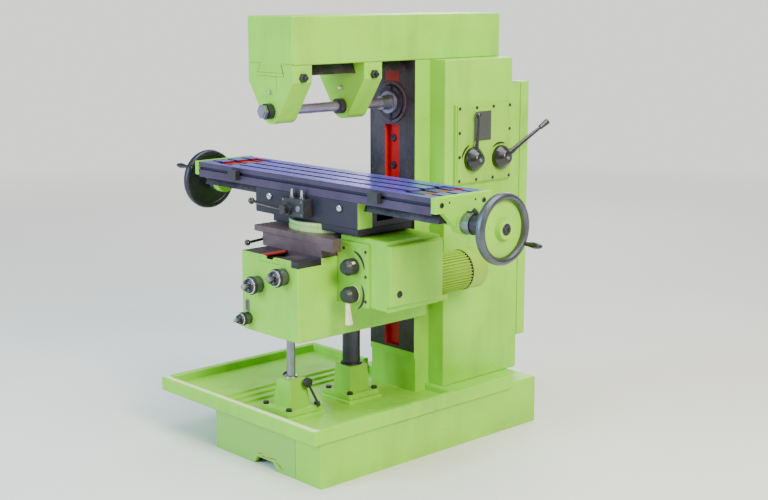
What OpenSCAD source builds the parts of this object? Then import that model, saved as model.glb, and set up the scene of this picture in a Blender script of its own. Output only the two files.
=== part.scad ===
// Horizontal milling machine with a knee, a cross saddle and a swivelling table.
// Millimetres. X runs along the table to the machine's right, -Y faces the operator, Z is up.
// The origin is on the floor, below the spindle plane, at half the base's length.

/* [Base and tray] */
// Base side to the left of the spindle plane
base_left = 260; // [220:5:300]
// Base side to the right of the spindle plane
base_right = 355; // [320:5:368]
// Base front, in front of the origin
base_front = 565; // [530:5:600]
// Base back, behind the origin
base_back = 566; // [625:5:700]
// Wall of the base casting
base_wall = 20; // [14:1:30]
// Height of the tray floor
deck_z = 160; // [150:2:164]
// Thickness of the tray floor
deck_t = 14; // [10:1:20]
// Thickness of the ribs under the deck
rib_t = 14; // [8:1:20]
// Tray rim to the left of the spindle plane
tray_left = 555; // [480:5:600]
// Tray rim to the right of the spindle plane
tray_right = 370; // [370:2:400]
// Tray rim in front of the origin
tray_front = 605; // [600:2:640]
// Where the left overhang of the tray ends at the back
shelf_back = 170; // [120:5:185]
// Where the right rim ends at the back
rim_right_back = 406; // [380:2:440]
// Height of the rim's upper edge
rim_z = 222; // [212:2:240]
// Thickness of the rim
rim_t = 28; // [16:1:34]
// Height of the rim's lower edge
rim_low = 166; // [164:1:172]
// Height of the left overhang's floor
shelf_z = 190; // [184:1:200]
// Height of the block behind the tray
block_top_z = 185; // [176:1:200]
// Height of the notch for a pry bar
notch_h = 30; // [20:1:40]
// Width of the notch at the floor
notch_w = 134; // [100:2:150]

/* [Pedestals] */
// Height of the raised pads on the tray floor
pad_h = 15; // [10:1:22]
// Thickness of the pedestal flanges
flange_t = 21; // [16:1:26]
// Height of the front pedestal's top
front_ped_z = 298; // [270:2:310]
// Height of the rear pedestal's top
rear_ped_z = 296; // [270:2:310]
// Half width of the front pedestal at its top
front_ped_top = 38; // [33:1:43]
// Half width of the front pedestal at its foot
front_ped_foot = 49; // [46:1:53]
// Half width of the front pedestal's flange
front_flange = 80; // [77:1:86]
// Half width of the rear pedestal at its top
rear_ped_top = 44; // [42:1:48]
// Half width of the rear pedestal at its foot
rear_ped_foot = 50; // [48:1:54]
// Half width of the rear pedestal's flange
rear_flange = 75; // [72:1:82]
// Radius of the pedestal bolts
ped_bolt_r = 6; // [5:0.5:7]
// Across flats half size of the pedestal bolt heads
ped_head_r = 9.5; // [8:0.5:10]

/* [Column] */
// Half width of the column body
column_half = 207; // [190:1:220]
// Column body's front face
column_front = 187; // [180:1:200]
// Column body's back face
column_back = 612; // [600:1:620]
// Back edge of the column's top
top_back = 560; // [540:2:580]
// Wall of the column casting
column_wall = 20; // [14:1:26]
// Half width of the knee ways
way_half = 125; // [115:1:130]
// Front face of the knee ways
way_face = 108; // [104:1:112]
// Lower end of the dark way face
way_low = 295; // [280:5:310]
// Height of the column's top
column_z = 1448; // [1440:1:1470]
// Height of the step at the column's back
step_z = 1350; // [1340:1:1360]
// Half width of the trough in the ways
trough_half = 40; // [34:1:44]
// Depth of the trough before its undercut
trough_d = 12; // [10:1:14]
// Half width of the trough's undercut
tee_half = 52; // [48:1:58]
// Depth of the undercut
tee_d = 14; // [12:1:18]
// Upper end of the trough in the column
trough_top = 1200; // [1150:5:1200]
// Lower end of the trough in the column
trough_low = 330; // [310:5:340]

/* [Rear door] */
// Lower edge of the rear door
door_low = 320; // [310:2:340]
// Depth of the rear door
door_t = 50; // [40:1:60]
// Sheet of the rear door
door_sheet = 4; // [2:0.5:6]
// Radius of the hinge pins
hinge_r = 5; // [4:0.5:6]
// Height of one hinge knuckle
knuckle_h = 40; // [30:1:50]

/* [Spindle and drive] */
// Height of the spindle axis
spindle_z = 1285; // [1275:1:1295]
// Radius of the spindle nose
nose_r = 64.3; // [60:0.1:66]
// Front face of the spindle nose
nose_y = 95; // [92:0.5:98]
// Radius of the spindle shaft
spindle_r = 45; // [40:1:50]
// Large radius of the taper in the nose
taper_r = 34.9; // [30:0.1:36]
// Length of the taper
taper_len = 100; // [80:1:120]
// Radius of the draw bar hole
drawbar_hole_r = 14; // [12:0.5:18]
// Radius of the nose ring
ring_r = 79; // [77:1:84]
// Thickness of the nose ring
ring_t = 6; // [4:0.5:8]
// Radius of the arbor
arbor_r = 18; // [14:0.5:20]
// Front end of the arbor
arbor_end = 526; // [520:1:540]
// Radius of the arbor flange
arbor_flange_r = 42; // [38:1:46]
// Thickness of the arbor flange
arbor_flange_t = 12; // [8:1:14]
// Radius of the arbor collars
collar_r = 28; // [24:1:34]
// Length of one arbor collar
collar_len = 18; // [10:1:18]
// Number of arbor collars
collar_count = 2; // [1:1:2]
// Gear module
gear_module = 5; // [5:1:5]
// Teeth of the spindle gear
gear_teeth = 36; // [32:1:36]
// Teeth of the input pinion
pinion_teeth = 22; // [20:1:24]
// Face width of the gears
gear_w = 40; // [30:1:50]
// Radius of the input shaft
input_r = 20; // [16:1:24]
// Height of the motor axis
motor_z = 700; // [680:5:720]
// Radius of the main motor
motor_r = 118; // [100:1:124]
// Length of the main motor
motor_len = 230; // [200:5:240]
// Radius of the pulley on the motor
motor_pulley_r = 52; // [45:1:60]
// Radius of the pulley on the input shaft
input_pulley_r = 80; // [70:1:90]
// Width of the pulleys
pulley_w = 44; // [36:1:48]
// Radius of the motor shaft
motor_shaft_r = 17; // [14:1:20]

/* [Speed plate] */
// Front edge of the speed plate
plate_front = 232; // [226:1:240]
// Back edge of the speed plate
plate_back = 543; // [538:1:550]
// Lower edge of the speed plate
plate_low = 973; // [965:1:980]
// Upper edge of the speed plate
plate_top = 1279; // [1270:1:1290]
// Thickness of the speed plate
plate_t = 18; // [12:1:24]
// Radius of the lever hubs
hub_r = 47; // [40:1:50]
// Height of the front lever hub's axis
hub_front_z = 1068; // [1060:1:1075]
// Place of the front lever hub behind the origin
hub_front_y = 318; // [312:1:324]
// Height of the rear lever hub's axis
hub_rear_z = 1064; // [1056:1:1070]
// Place of the rear lever hub behind the origin
hub_rear_y = 474; // [468:1:480]
// Length of the front speed lever from its hub's axis
front_lever_len = 170; // [150:1:190]
// Length of the rear speed lever from its hub's axis
rear_lever_len = 236; // [210:1:250]
// Radius of the plate screws
screw_r = 5; // [4:0.5:6]

/* [Overarm and supports] */
// Half width of the overarm
arm_half = 125; // [118:1:130]
// Front end of the overarm
arm_front = 481; // [470:1:500]
// Back end of the overarm
arm_back = 573; // [565:1:590]
// Height of the overarm's body
arm_h = 168; // [150:1:180]
// Wall of the overarm casting
arm_wall = 16; // [12:1:20]
// Half width of the dovetail at its neck
dovetail_neck = 59; // [54:1:64]
// Half width of the dovetail at its foot
dovetail_foot = 75; // [68:1:80]
// Height of the dovetail
dovetail_h = 40; // [34:1:44]
// Thickness of an arbor support
support_t = 88; // [76:1:92]
// Front face of the inner support
inner_front = 148; // [145:1:152]
// Radius of a support's hub
support_hub_r = 46; // [42:1:47]
// Height of a support's straight sides
support_cheek = 60; // [50:1:66]
// Outer radius of a bush
bush_r = 28; // [26:0.5:32]
// How far the bushes stand out of the support at its back
bush_back = 15; // [10:1:20]
// How far the bushes stand out of the support at its front
bush_front = 26; // [20:1:30]

/* [Knee] */
// Half width of the knee
knee_half = 163; // [155:1:170]
// Front face of the knee
knee_front = 500; // [490:1:510]
// Lower face of the knee
knee_low = 472; // [465:1:480]
// Top of the knee's slideway
knee_top = 768; // [762:1:770]
// Wall of the knee casting
knee_wall = 22; // [16:1:24]
// Depth of the knee's side claws on the ways
claw_d = 29; // [20:1:34]
// Half width of the trough in the knee's top
knee_trough_half = 45; // [40:1:48]
// Depth of the knee's trough before its undercut
knee_trough_d = 12; // [10:1:14]
// Half width of the undercut in the knee's trough
knee_tee_half = 57; // [54:1:62]
// Depth of the undercut in the knee's trough
knee_tee_d = 12; // [10:1:14]
// Place of the guide post in front of the origin
post_y = 404; // [398:1:408]
// Radius of the guide post
post_r = 16; // [14:0.5:19]
// Lower end of the guide post
post_low = 73; // [72:1:80]
// Place of the elevating screw in front of the origin
lift_y = 107; // [104:1:112]
// Radius of the elevating screw
lift_r = 25; // [20:1:27]
// Lower end of the elevating screw
lift_low = 200; // [190:2:210]
// Outer radius of the elevating sleeve
sleeve_r = 34; // [31:1:36]
// Lower end of the elevating sleeve
sleeve_low = 150; // [140:2:160]
// Upper end of the elevating sleeve
sleeve_top = 440; // [430:2:450]
// Place of the cross screw to the left of the spindle plane
cross_x = 60; // [58:0.5:62]
// Height of the cross screw
cross_z = 655; // [650:1:660]
// Radius of the cross screw
cross_r = 14; // [10:0.5:15]
// Place of the vertical shaft to the right of the spindle plane
vert_x = 86; // [82:1:90]
// Height of the vertical shaft
vert_z = 705; // [700:1:705]
// Place of the lower shaft to the left of the spindle plane
lower_x = 124; // [120:1:128]
// Height of the lower shaft
lower_z = 518; // [514:1:522]
// Radius of the front dials
dial_r = 34; // [30:1:36]
// Length of the front dials
dial_len = 53; // [44:1:58]
// Radius of the lower dial
small_dial_r = 25; // [22:1:28]

/* [Feed box] */
// Right side of the feed box
feed_right = 430; // [420:1:440]
// Front of the feed box
feed_front = 302; // [295:1:308]
// Back of the feed box
feed_back = 44; // [40:1:50]
// Lower face of the feed box
feed_low = 596; // [590:1:602]
// Top of the feed box
feed_top = 848; // [840:1:849]
// Wall of the feed box
feed_wall = 14; // [10:1:18]
// Right edge of the raised front plate
feed_plate_right = 323; // [315:1:330]
// Thickness of the raised front plate
feed_plate_t = 15; // [10:1:18]
// Lower edge of the raised front plate
feed_plate_low = 600; // [596:1:606]
// Top of the raised front plate
feed_plate_top = 829; // [820:1:836]
// Place of the selector knobs to the right of the spindle plane
knob_x = 254; // [248:1:258]
// Height of the upper knob
upper_knob_z = 743; // [738:1:748]
// Height of the lower knob
lower_knob_z = 642; // [637:1:647]
// Radius of the selector knobs
knob_r = 30; // [26:1:34]
// Place of the feed motor to the right of the spindle plane
fm_x = 300; // [296:1:304]
// Height of the feed motor's axis
fm_z = 668; // [660:1:676]
// Radius of the feed motor over its fins
fm_r = 78; // [70:1:82]
// Length of the feed motor's ribbed part
fm_len = 225; // [200:5:240]
// Length of the feed motor's cowl
cowl_len = 80; // [60:2:90]
// Number of fins
fin_count = 36; // [24:2:44]
// Depth of the fins
fin_d = 9; // [6:1:11]

/* [Saddle and carriage] */
// Front of the saddle
saddle_front = 390; // [385:1:395]
// Back of the saddle
saddle_back = 10; // [8:1:16]
// Left end of the saddle plate
saddle_left = 225; // [215:1:235]
// Right end of the saddle, short of the feed box
saddle_right = 158; // [152:1:161]
// Right end of the saddle's front lug
lug_right = 225; // [215:1:235]
// Depth of the saddle's front lug
lug_d = 38; // [30:1:42]
// Left end of the saddle's lower block
saddle_block_left = 180; // [175:1:190]
// Height of the saddle's lower block
saddle_block_h = 50; // [46:1:52]
// Thickness of the saddle plate
saddle_plate_t = 24; // [20:1:26]
// Centre of the table's swivel in front of the origin
swivel_y = 199.5; // [197:0.5:202]
// Radius of the swivel ring
swivel_r = 160; // [150:1:162]
// Height of the swivel ring
swivel_h = 34; // [26:1:34]
// Half length of the carriage
carriage_half = 290; // [285:1:295]
// Height of the carriage's lower face
carriage_low = 878; // [874:1:880]
// Lower face of the carriage's right part
carriage_drop = 854; // [853:1:858]
// Left end of the carriage's right part
drop_left = 184; // [180:1:190]
// Radius of the table screw
screw_shaft_r = 17; // [14:0.5:19]
// Height of the table screw's axis
table_screw_z = 940; // [938:0.5:942]
// Depth of the control block
block_d = 42; // [36:1:44]
// Left end of the control block
block_left = 81; // [78:1:84]
// Right end of the control block
block_right = 43; // [40:1:46]
// Travel of the trip plungers
plunger_travel = 8; // [6:1:10]

/* [Table] */
// Half length of the table
table_half = 655; // [650:1:680]
// Width of the table
table_w = 265; // [260:1:272]
// Lower face of the table
table_low = 974; // [970:1:976]
// Height of the table's top
table_top = 1033; // [1028:1:1038]
// Half width of the table's dovetail at its neck
tongue_neck = 88; // [84:1:92]
// Half width of the table's dovetail at its foot
tongue_foot = 102; // [98:1:106]
// Height of the table's dovetail
tongue_h = 32; // [28:1:34]
// Number of T-slots
slot_count = 3; // [3:2:3]
// Spacing of the T-slots
slot_pitch = 70; // [66:1:74]
// Width of a T-slot's throat
slot_w = 18; // [14:1:20]
// Depth of a T-slot's throat
slot_throat = 18; // [16:1:20]
// Width of a T-slot's wide part
slot_wide = 32; // [28:1:36]
// Height of a T-slot's wide part
slot_under = 13; // [10:1:14]
// Width of the groove that carries the trip dogs
groove_w = 12; // [8:1:14]
// Depth of the groove that carries the trip dogs
groove_d = 9; // [6:1:11]
// Height of that groove's axis
groove_z = 1009; // [1005:1:1011]
// Radius of the handwheels
wheel_r = 120; // [110:1:124]
// Radius of a handwheel's rim section
rim_r = 11; // [8:0.5:13]
// Thickness of the end brackets
bracket_t = 24; // [18:1:28]
// Radius of the bearing hub on the end brackets
bracket_hub_r = 42; // [38:1:46]
// Radius of the dials beside the end brackets
table_dial_r = 37; // [34:1:40]
// Place of the right handwheel's rim beyond the table's end
wheel_right = 190; // [180:1:200]
// Place of the left handwheel's rim beyond the table's end
wheel_left = 115; // [112:1:125]
// Length of the handwheel grips
grip_len = 84; // [70:1:95]

/* [Fits] */
// Gap between flat slideways
way_gap = 0.3; // [0.2:0.05:0.5]
// Radial gap of shafts in their bushes and bearings
run_gap = 0.05; // [0.03:0.01:0.1]
// Radial gap where a shaft passes a casting
pass_gap = 3; // [2:0.5:4]

/* [Hidden] */
$fn = 48;
nudge = 1;
paint = [0.66, 0.85, 0.36];
dark_steel = [0.30, 0.29, 0.33];
bright_steel = [0.75, 0.75, 0.78];
black_paint = [0.10, 0.10, 0.11];
red_paint = [0.75, 0.12, 0.12];

// Height of the flanges' underside and top on the tray floor
flange_low = deck_z + pad_h;
flange_top = flange_low + flange_t;
// Planes of the ribs under the deck
rib_xs = [-85, 75, 215];
rib_ys = [-475, -330, -180, -40, 100, 240, 380];
cell_xs = concat([-base_left + base_wall - rib_t / 2], rib_xs, [base_right - base_wall + rib_t / 2]);
cell_ys = concat([-base_front + base_wall - rib_t / 2], rib_ys, [base_back - base_wall + rib_t / 2]);
// Inner chambers of the column
chamber_front = column_front + 25;
bearing_wall_y = 465;
bearing_wall_t = 25;
gear_deck_z = 950;
chamber_half = column_half - column_wall;
front_bearing_r = 75;
input_z = spindle_z - gear_module * (gear_teeth + pinion_teeth) / 2;
gear_y = 300;
pulley_y = 535;
motor_front = 262;
// Height of the overarm's underside
arm_low = column_z + way_gap;
support_top = arm_low - way_gap;
outer_front = arm_front;
// Knee slideway and saddle
saddle_low = knee_top + way_gap;
plate_low_z = saddle_low + saddle_block_h;
saddle_top = plate_low_z + saddle_plate_t;
knee_back = way_face - way_gap;
tee_z = knee_top - knee_trough_d;
slot_front = 460;
slot_back = 138;
nut_reach = 30;
// Table, whose front is flush with the carriage's
table_front = swivel_y + table_w / 2;
table_back = swivel_y - table_w / 2;
carriage_top = table_low - way_gap;
tongue_low = table_low - tongue_h;
channel_half = 40;
hub_end = bracket_t + 12;

module block(low, high) { translate(low) cube(high - low); }
module rod_x(radius, from, to, y, z) { translate([from, y, z]) rotate([0, 90, 0]) cylinder(r=radius, h=to - from); }
module rod_y(radius, from, to, x, z) { translate([x, from, z]) rotate([-90, 0, 0]) cylinder(r=radius, h=to - from); }
module rod_z(radius, from, to, x, y) { translate([x, y, from]) cylinder(r=radius, h=to - from); }
// A profile drawn in X and Z, carried along Y
module along_y(from, to) { translate([0, to, 0]) rotate([90, 0, 0]) linear_extrude(to - from) children(); }
// A profile drawn in Y and Z, carried along X
module along_x(from, to) { translate([from, 0, 0]) rotate([90, 0, 90]) linear_extrude(to - from) children(); }
// A dovetail or a T drawn in X and Z around a centre line: half widths at two heights
module trapezoid(low_half, high_half, low, high) {
    polygon([[-low_half, low], [low_half, low], [high_half, high], [-high_half, high]]);
}
// A square frustum that stands on a flange
module pedestal(foot, top, flange, y, height) {
    intersection() {
        translate([0, y - foot, 0]) along_y(0, 2 * foot) trapezoid(foot, top, flange_top - nudge, height);
        translate([-foot, y, 0]) along_x(0, 2 * foot) trapezoid(foot, top, flange_top - nudge, height);
    }
    block([-flange, y - flange, flange_low], [flange, y + flange, flange_top]);
}
module at_corners(half, y) { for (i = [-1, 1], j = [-1, 1]) translate([i * half, y + j * half, 0]) children(); }

front_bolt_at = front_flange - 13;
rear_bolt_at = rear_flange - 13;
rib_low = -nudge;
// Pad under the deck at the origin, wide enough to run into the rib beside it
origin_pad_r = 38;

tray_outline = [[-tray_left, -tray_front], [tray_right, -tray_front], [tray_right, rim_right_back],
    [tray_right - rim_t, rim_right_back], [tray_right - rim_t, shelf_back], [-tray_left, shelf_back]];
// The tray's hollow, seen from the front: the left overhang steps down to the deck
shelf_step = (shelf_z - deck_z) / 3;
tray_steps = [[-tray_left + rim_t, rim_z + nudge], [-tray_left + rim_t, shelf_z], [-base_left - 10, shelf_z],
    [-base_left - 10, shelf_z - shelf_step], [-base_left + 20, shelf_z - shelf_step],
    [-base_left + 20, shelf_z - 2 * shelf_step], [-base_left + 50, shelf_z - 2 * shelf_step],
    [-base_left + 50, deck_z], [tray_right - rim_t, deck_z], [tray_right - rim_t, rim_z + nudge]];
module base_casting() color(paint) difference() {
    union() {
        difference() {
            union() {
                block([-base_left, -base_front, 0], [base_right, base_back, rim_low + nudge]);
                block([-base_left, shelf_back, deck_z], [base_right, base_back, block_top_z]);
                translate([0, 0, rim_low]) linear_extrude(rim_z - rim_low) polygon(tray_outline);
            }
            along_y(-tray_front + rim_t, shelf_back - rim_t) polygon(tray_steps);
            block([-column_half - way_gap, shelf_back - rim_t - nudge, deck_z], [tray_right - rim_t, shelf_back, rim_z + nudge]);
        }
        pad(front_flange + 8, post_y);
        pad(rear_flange + 8, lift_y);
    }
    difference() {
        for (i = [0:len(cell_xs) - 2], j = [0:len(cell_ys) - 2])
            block([cell_xs[i] + rib_t / 2, cell_ys[j] + rib_t / 2, rib_low],
                [cell_xs[i + 1] - rib_t / 2, cell_ys[j + 1] - rib_t / 2, deck_z - deck_t]);
        rod_z(origin_pad_r, 2 * rib_low, deck_z, 0, 0);
    }
    along_y(-base_front - nudge, -base_front + base_wall + nudge) translate([42, 0])
        trapezoid(notch_w / 2, notch_w / 3, -nudge, notch_h);
    rod_z(post_r + pass_gap, rib_low, flange_top, 0, -post_y);
    rod_z(sleeve_r + pass_gap, rib_low, flange_top, 0, -lift_y);
    at_corners(front_bolt_at, -post_y) rod_z(ped_bolt_r + way_gap, deck_z - deck_t - nudge, flange_top, 0, 0);
    at_corners(rear_bolt_at, -lift_y) rod_z(ped_bolt_r + way_gap, deck_z - deck_t - nudge, flange_top, 0, 0);
}
module pad(half, y) { block([-half, -y - half, deck_z - nudge], [half, -y + half, flange_low]); }

module front_pedestal() color(paint) difference() {
    pedestal(front_ped_foot, front_ped_top, front_flange, -post_y, front_ped_z);
    rod_z(post_r + way_gap, flange_low - nudge, front_ped_z + nudge, 0, -post_y);
    at_corners(front_bolt_at, -post_y) rod_z(ped_bolt_r + way_gap, flange_low - nudge, flange_top + nudge, 0, 0);
    // The split that the clamp closes, and the hole of its shaft
    block([-1.5, -post_y, clamp_z - 25], [1.5, -post_y + front_ped_foot + nudge, front_ped_z + nudge]);
    rod_x(clamp_r + way_gap, -front_flange, front_flange, clamp_y, clamp_z);
}
clamp_r = 7;
clamp_z = 284;
clamp_y = -post_y + post_r + clamp_r + 6;
clamp_half = front_ped_top + 12;

module rear_pedestal() color(paint) difference() {
    pedestal(rear_ped_foot, rear_ped_top, rear_flange, -lift_y, rear_ped_z);
    rod_z(sleeve_r + way_gap, flange_low - nudge, rear_ped_z + nudge, 0, -lift_y);
    at_corners(rear_bolt_at, -lift_y) rod_z(ped_bolt_r + way_gap, flange_low - nudge, flange_top + nudge, 0, 0);
}
module hex_bolt(head_z, depth) {
    rod_z(ped_bolt_r, head_z - depth, head_z + nudge, 0, 0);
    translate([0, 0, head_z]) cylinder(r=ped_head_r / cos(30), h=10, $fn=6);
}
module pedestal_bolts() color(dark_steel) {
    at_corners(front_bolt_at, -post_y) hex_bolt(flange_top, flange_t + pad_h);
    at_corners(rear_bolt_at, -lift_y) hex_bolt(flange_top, flange_t + pad_h);
}
module post_clamp_lever() color(black_paint) {
    rod_x(clamp_r, -clamp_half - 12, clamp_half + 12, clamp_y, clamp_z);
    for (side = [-1, 1]) translate([side * (clamp_half + 10), clamp_y, clamp_z]) {
        rod_x(18, -8, 8, 0, 0);
        rotate([side > 0 ? 18 : -16, side > 0 ? -18 : 0, 0]) rod_z(5.5, side > 0 ? -98 : -78, 0, 0, 0);
    }
}

way_profile = [[-way_half, way_face], [way_half, way_face], [way_half, column_front + nudge], [-way_half, column_front + nudge]];
module column_casting() color(paint) difference() {
    union() {
        block([-column_half, column_front, block_top_z], [column_half, top_back, column_z]);
        block([-column_half, top_back - nudge, block_top_z], [column_half, column_back, step_z]);
        block([-way_half, way_face, way_low], [way_half, column_front + nudge, column_z]);
        block([-way_half, way_face + 7, deck_z], [way_half, shelf_back, way_low + nudge]);
        block([-way_half, shelf_back - nudge, block_top_z], [way_half, column_front + nudge, way_low + nudge]);
    }
    // Trough with its undercut
    block([-trough_half, way_face - nudge, trough_low], [trough_half, way_face + trough_d, trough_top]);
    block([-tee_half, way_face + trough_d, trough_low], [tee_half, way_face + trough_d + tee_d, trough_top]);
    // Gear chamber, belt chamber and motor chamber
    block([-chamber_half, chamber_front, gear_deck_z], [chamber_half, bearing_wall_y, column_z - dovetail_h - 25]);
    block([-chamber_half, bearing_wall_y + bearing_wall_t, door_low + 30], [chamber_half, column_back - column_wall, step_z - 12]);
    block([-chamber_half, chamber_front, block_top_z + 25], [chamber_half, column_back - column_wall, gear_deck_z - 25]);
    block([-chamber_half + 15, column_back - column_wall - nudge, door_low + 30], [chamber_half - 15, column_back + nudge, step_z - 25]);
    // Window in the right wall, closed by the speed plate
    block([chamber_half - nudge, plate_front + 25, plate_low + 25], [column_half + nudge, plate_back - 35, plate_top - 25]);
    // Bores of the spindle and the input shaft
    rod_y(front_bearing_r, way_face - nudge, chamber_front + nudge, 0, spindle_z);
    rod_y(spindle_r + 20, bearing_wall_y - nudge, bearing_wall_y + bearing_wall_t + nudge, 0, spindle_z);
    rod_y(input_r + 20, bearing_wall_y - nudge, bearing_wall_y + bearing_wall_t + nudge, 0, input_z);
    rod_y(input_r + 20, chamber_front - 15, chamber_front + nudge, 0, input_z);
    // Dovetail for the overarm
    along_y(way_face - nudge, top_back + nudge)
        trapezoid(dovetail_foot + 2 * way_gap, dovetail_neck + way_gap, column_z - dovetail_h - way_gap, column_z + nudge / 50);
    along_y(way_face - nudge, top_back + nudge)
        trapezoid(dovetail_neck + way_gap, dovetail_neck + way_gap, column_z - nudge, column_z + nudge);
}
module nose_ring() color(dark_steel) difference() {
    rod_y(ring_r, way_face - ring_t, way_face, 0, spindle_z);
    rod_y(nose_r + pass_gap, way_face - ring_t - nudge, way_face + nudge, 0, spindle_z);
}
module bearing(outer, inner, from, to, z) {
    difference() {
        rod_y(outer - run_gap, from, to, 0, z);
        rod_y(inner + run_gap, from - nudge, to + nudge, 0, z);
    }
}
front_bearing_y = 140;
module shaft_bearings() color(bright_steel) {
    bearing(front_bearing_r, spindle_r, front_bearing_y, chamber_front - 5, spindle_z);
    bearing(spindle_r + 20, spindle_r, bearing_wall_y, bearing_wall_y + bearing_wall_t, spindle_z);
    bearing(input_r + 20, input_r, bearing_wall_y, bearing_wall_y + bearing_wall_t, input_z);
    bearing(input_r + 20, input_r, chamber_front - 14, chamber_front, input_z);
}

plate_out = column_half + plate_t;
hubs = [[hub_front_y, hub_front_z], [hub_rear_y, hub_rear_z]];
window_y = [323, 422];
window_z = [1134, 1251];
module speed_plate() color(paint) difference() {
    union() {
        block([column_half, plate_front, plate_low], [plate_out - 6, plate_back, plate_top]);
        block([plate_out - 6 - nudge / 2, plate_front + 6, plate_low + 6], [plate_out, plate_back - 6, plate_top - 6]);
    }
    for (hub = hubs) rod_x(12 + run_gap, column_half - nudge, plate_out + nudge, hub[0], hub[1]);
    block([plate_out - 8, window_y[0], window_z[0]], [plate_out + nudge, window_y[1], window_z[1]]);
    for (at = plate_screw_places) rod_x(screw_r + 0.2, column_half - nudge, plate_out + nudge, at[0], at[1]);
}
inset = 15;
plate_screw_places = concat(
    [for (i = [0:3], z = [plate_low + inset, plate_top - inset]) [plate_front + inset + i * (plate_back - plate_front - 2 * inset) / 3, z]],
    [for (i = [1, 2], y = [plate_front + inset, plate_back - inset]) [y, plate_low + inset + i * (plate_top - plate_low - 2 * inset) / 3]]);
module speed_window() color(black_paint) {
    block([plate_out - 8, window_y[0] + 0.3, window_z[0] + 0.3], [plate_out + 2, window_y[1] - 0.3, window_z[1] - 0.3]);
}
module plate_screws() color(black_paint) {
    for (at = plate_screw_places) {
        rod_x(screw_r, column_half, plate_out + nudge, at[0], at[1]);
        rod_x(screw_r + 2, plate_out, plate_out + 3, at[0], at[1]);
    }
}
// A lever with a domed hub, a shaft into the plate and a bent arm that leans out
module speed_lever(y, z, length, lean, turn) {
    translate([plate_out, y, z]) {
        rod_x(12, -plate_t - 8, 6, 0, 0);
        rod_x(hub_r, 0.6, 22, 0, 0);
        translate([22 - nudge / 2, 0, 0]) rotate([0, 90, 0]) cylinder(r1=hub_r, r2=hub_r * 0.55, h=24);
        rotate([turn, 0, 0]) rotate([0, lean, 0]) translate([22, 0, 0]) {
            rod_z(7, 0, length, 0, 0);
            translate([0, 0, length]) sphere(r=12);
        }
    }
}
module front_speed_lever() color(black_paint) speed_lever(hub_front_y, hub_front_z, front_lever_len, 3, 0);
module rear_speed_lever() color(black_paint) speed_lever(hub_rear_y, hub_rear_z, rear_lever_len, 11, -57);

module main_motor() color(paint) difference() {
    union() {
        rod_y(motor_r, motor_front, motor_front + motor_len, 0, motor_z);
        // Foot plate that hangs the motor under the gear deck
        block([-90, motor_front + 20, motor_z], [90, motor_front + motor_len - 20, gear_deck_z - 25]);
    }
    rod_y(motor_shaft_r + pass_gap, motor_front - nudge, motor_front + motor_len + nudge, 0, motor_z);
    rod_y(80, motor_front + 40, motor_front + motor_len - 40, 0, motor_z);
    rod_y(28, motor_front + 10, motor_front + 30, 0, motor_z);
}
module motor_rotor() color(dark_steel) {
    rod_y(motor_shaft_r, motor_front + 6, pulley_y + pulley_w + 6, 0, motor_z);
    rod_y(78, motor_front + 44, motor_front + motor_len - 44, 0, motor_z);
    rod_y(motor_pulley_r, pulley_y, pulley_y + pulley_w, 0, motor_z);
}
belt_t = 9;
module belt_outline(extra) {
    hull() {
        translate([0, motor_z]) circle(r=motor_pulley_r + extra);
        translate([0, input_z]) circle(r=input_pulley_r + extra);
    }
}
module drive_belt() color(black_paint) along_y(pulley_y + 6, pulley_y + pulley_w - 6) difference() {
    belt_outline(belt_t);
    belt_outline(0.4);
}
// Spur gear with relieved flanks, drawn around Y. The spindle gear has a tooth straight down,
// and the pinion a gap straight up.
module gear(teeth, y, z, bore, phase) {
    pitch_r = gear_module * teeth / 2;
    tip_r = pitch_r + 0.85 * gear_module;
    root_r = pitch_r - 1.2 * gear_module;
    step = 360 / teeth;
    outline = [for (i = [0:teeth - 1], p = [[-0.30, root_r], [-0.15, tip_r], [0.15, tip_r], [0.30, root_r]])
        let (a = (i + p[0] + phase) * step) [p[1] * cos(a), p[1] * sin(a)]];
    translate([0, 0, z]) along_y(y, y + gear_w) difference() {
        polygon(outline);
        circle(r=bore);
    }
}
module spindle_gear() color(dark_steel) gear(gear_teeth, gear_y, spindle_z, spindle_r + 0.02, -gear_teeth / 4);
module input_shaft() color(dark_steel) {
    rod_y(input_r, chamber_front - 12, pulley_y + pulley_w + 4, 0, input_z);
    gear(pinion_teeth, gear_y, input_z, input_r - nudge, pinion_teeth / 4 + 0.5);
    rod_y(46, gear_y + gear_w + 24, gear_y + 2 * gear_w + 24, 0, input_z);
    rod_y(input_pulley_r, pulley_y, pulley_y + pulley_w, 0, input_z);
}

spindle_end = 535;
module spindle() color(bright_steel) difference() {
    union() {
        rod_y(nose_r, nose_y, front_bearing_y - 4, 0, spindle_z);
        rod_y(spindle_r, front_bearing_y - 5, spindle_end, 0, spindle_z);
    }
    translate([0, nose_y - nudge / 10, spindle_z]) rotate([-90, 0, 0]) cylinder(r1=taper_r + 0.2, r2=taper_r - taper_len * 7 / 48, h=taper_len);
    rod_y(drawbar_hole_r, nose_y + taper_len - nudge, spindle_end + nudge, 0, spindle_z);
}
flange_y = nose_y - 0.3 - arbor_flange_t;
collar_front = flange_y - collar_count * collar_len;
module arbor() color(bright_steel) {
    rod_y(arbor_r, -arbor_end, flange_y + nudge, 0, spindle_z);
    rod_y(arbor_flange_r, flange_y, flange_y + arbor_flange_t, 0, spindle_z);
    // Taper shank, drawn 1 mm short of its seat, and the draw bar behind it
    translate([0, flange_y + arbor_flange_t - nudge / 10, spindle_z]) rotate([-90, 0, 0])
        cylinder(r1=taper_r - 0.3, r2=taper_r - 0.3 - (taper_len - 4) * 7 / 48, h=taper_len - 4);
    rod_y(drawbar_hole_r - 2, nose_y + taper_len - 12, spindle_end + 8, 0, spindle_z);
    rod_y(22, spindle_end + 0.3, spindle_end + 14, 0, spindle_z);
}
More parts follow.
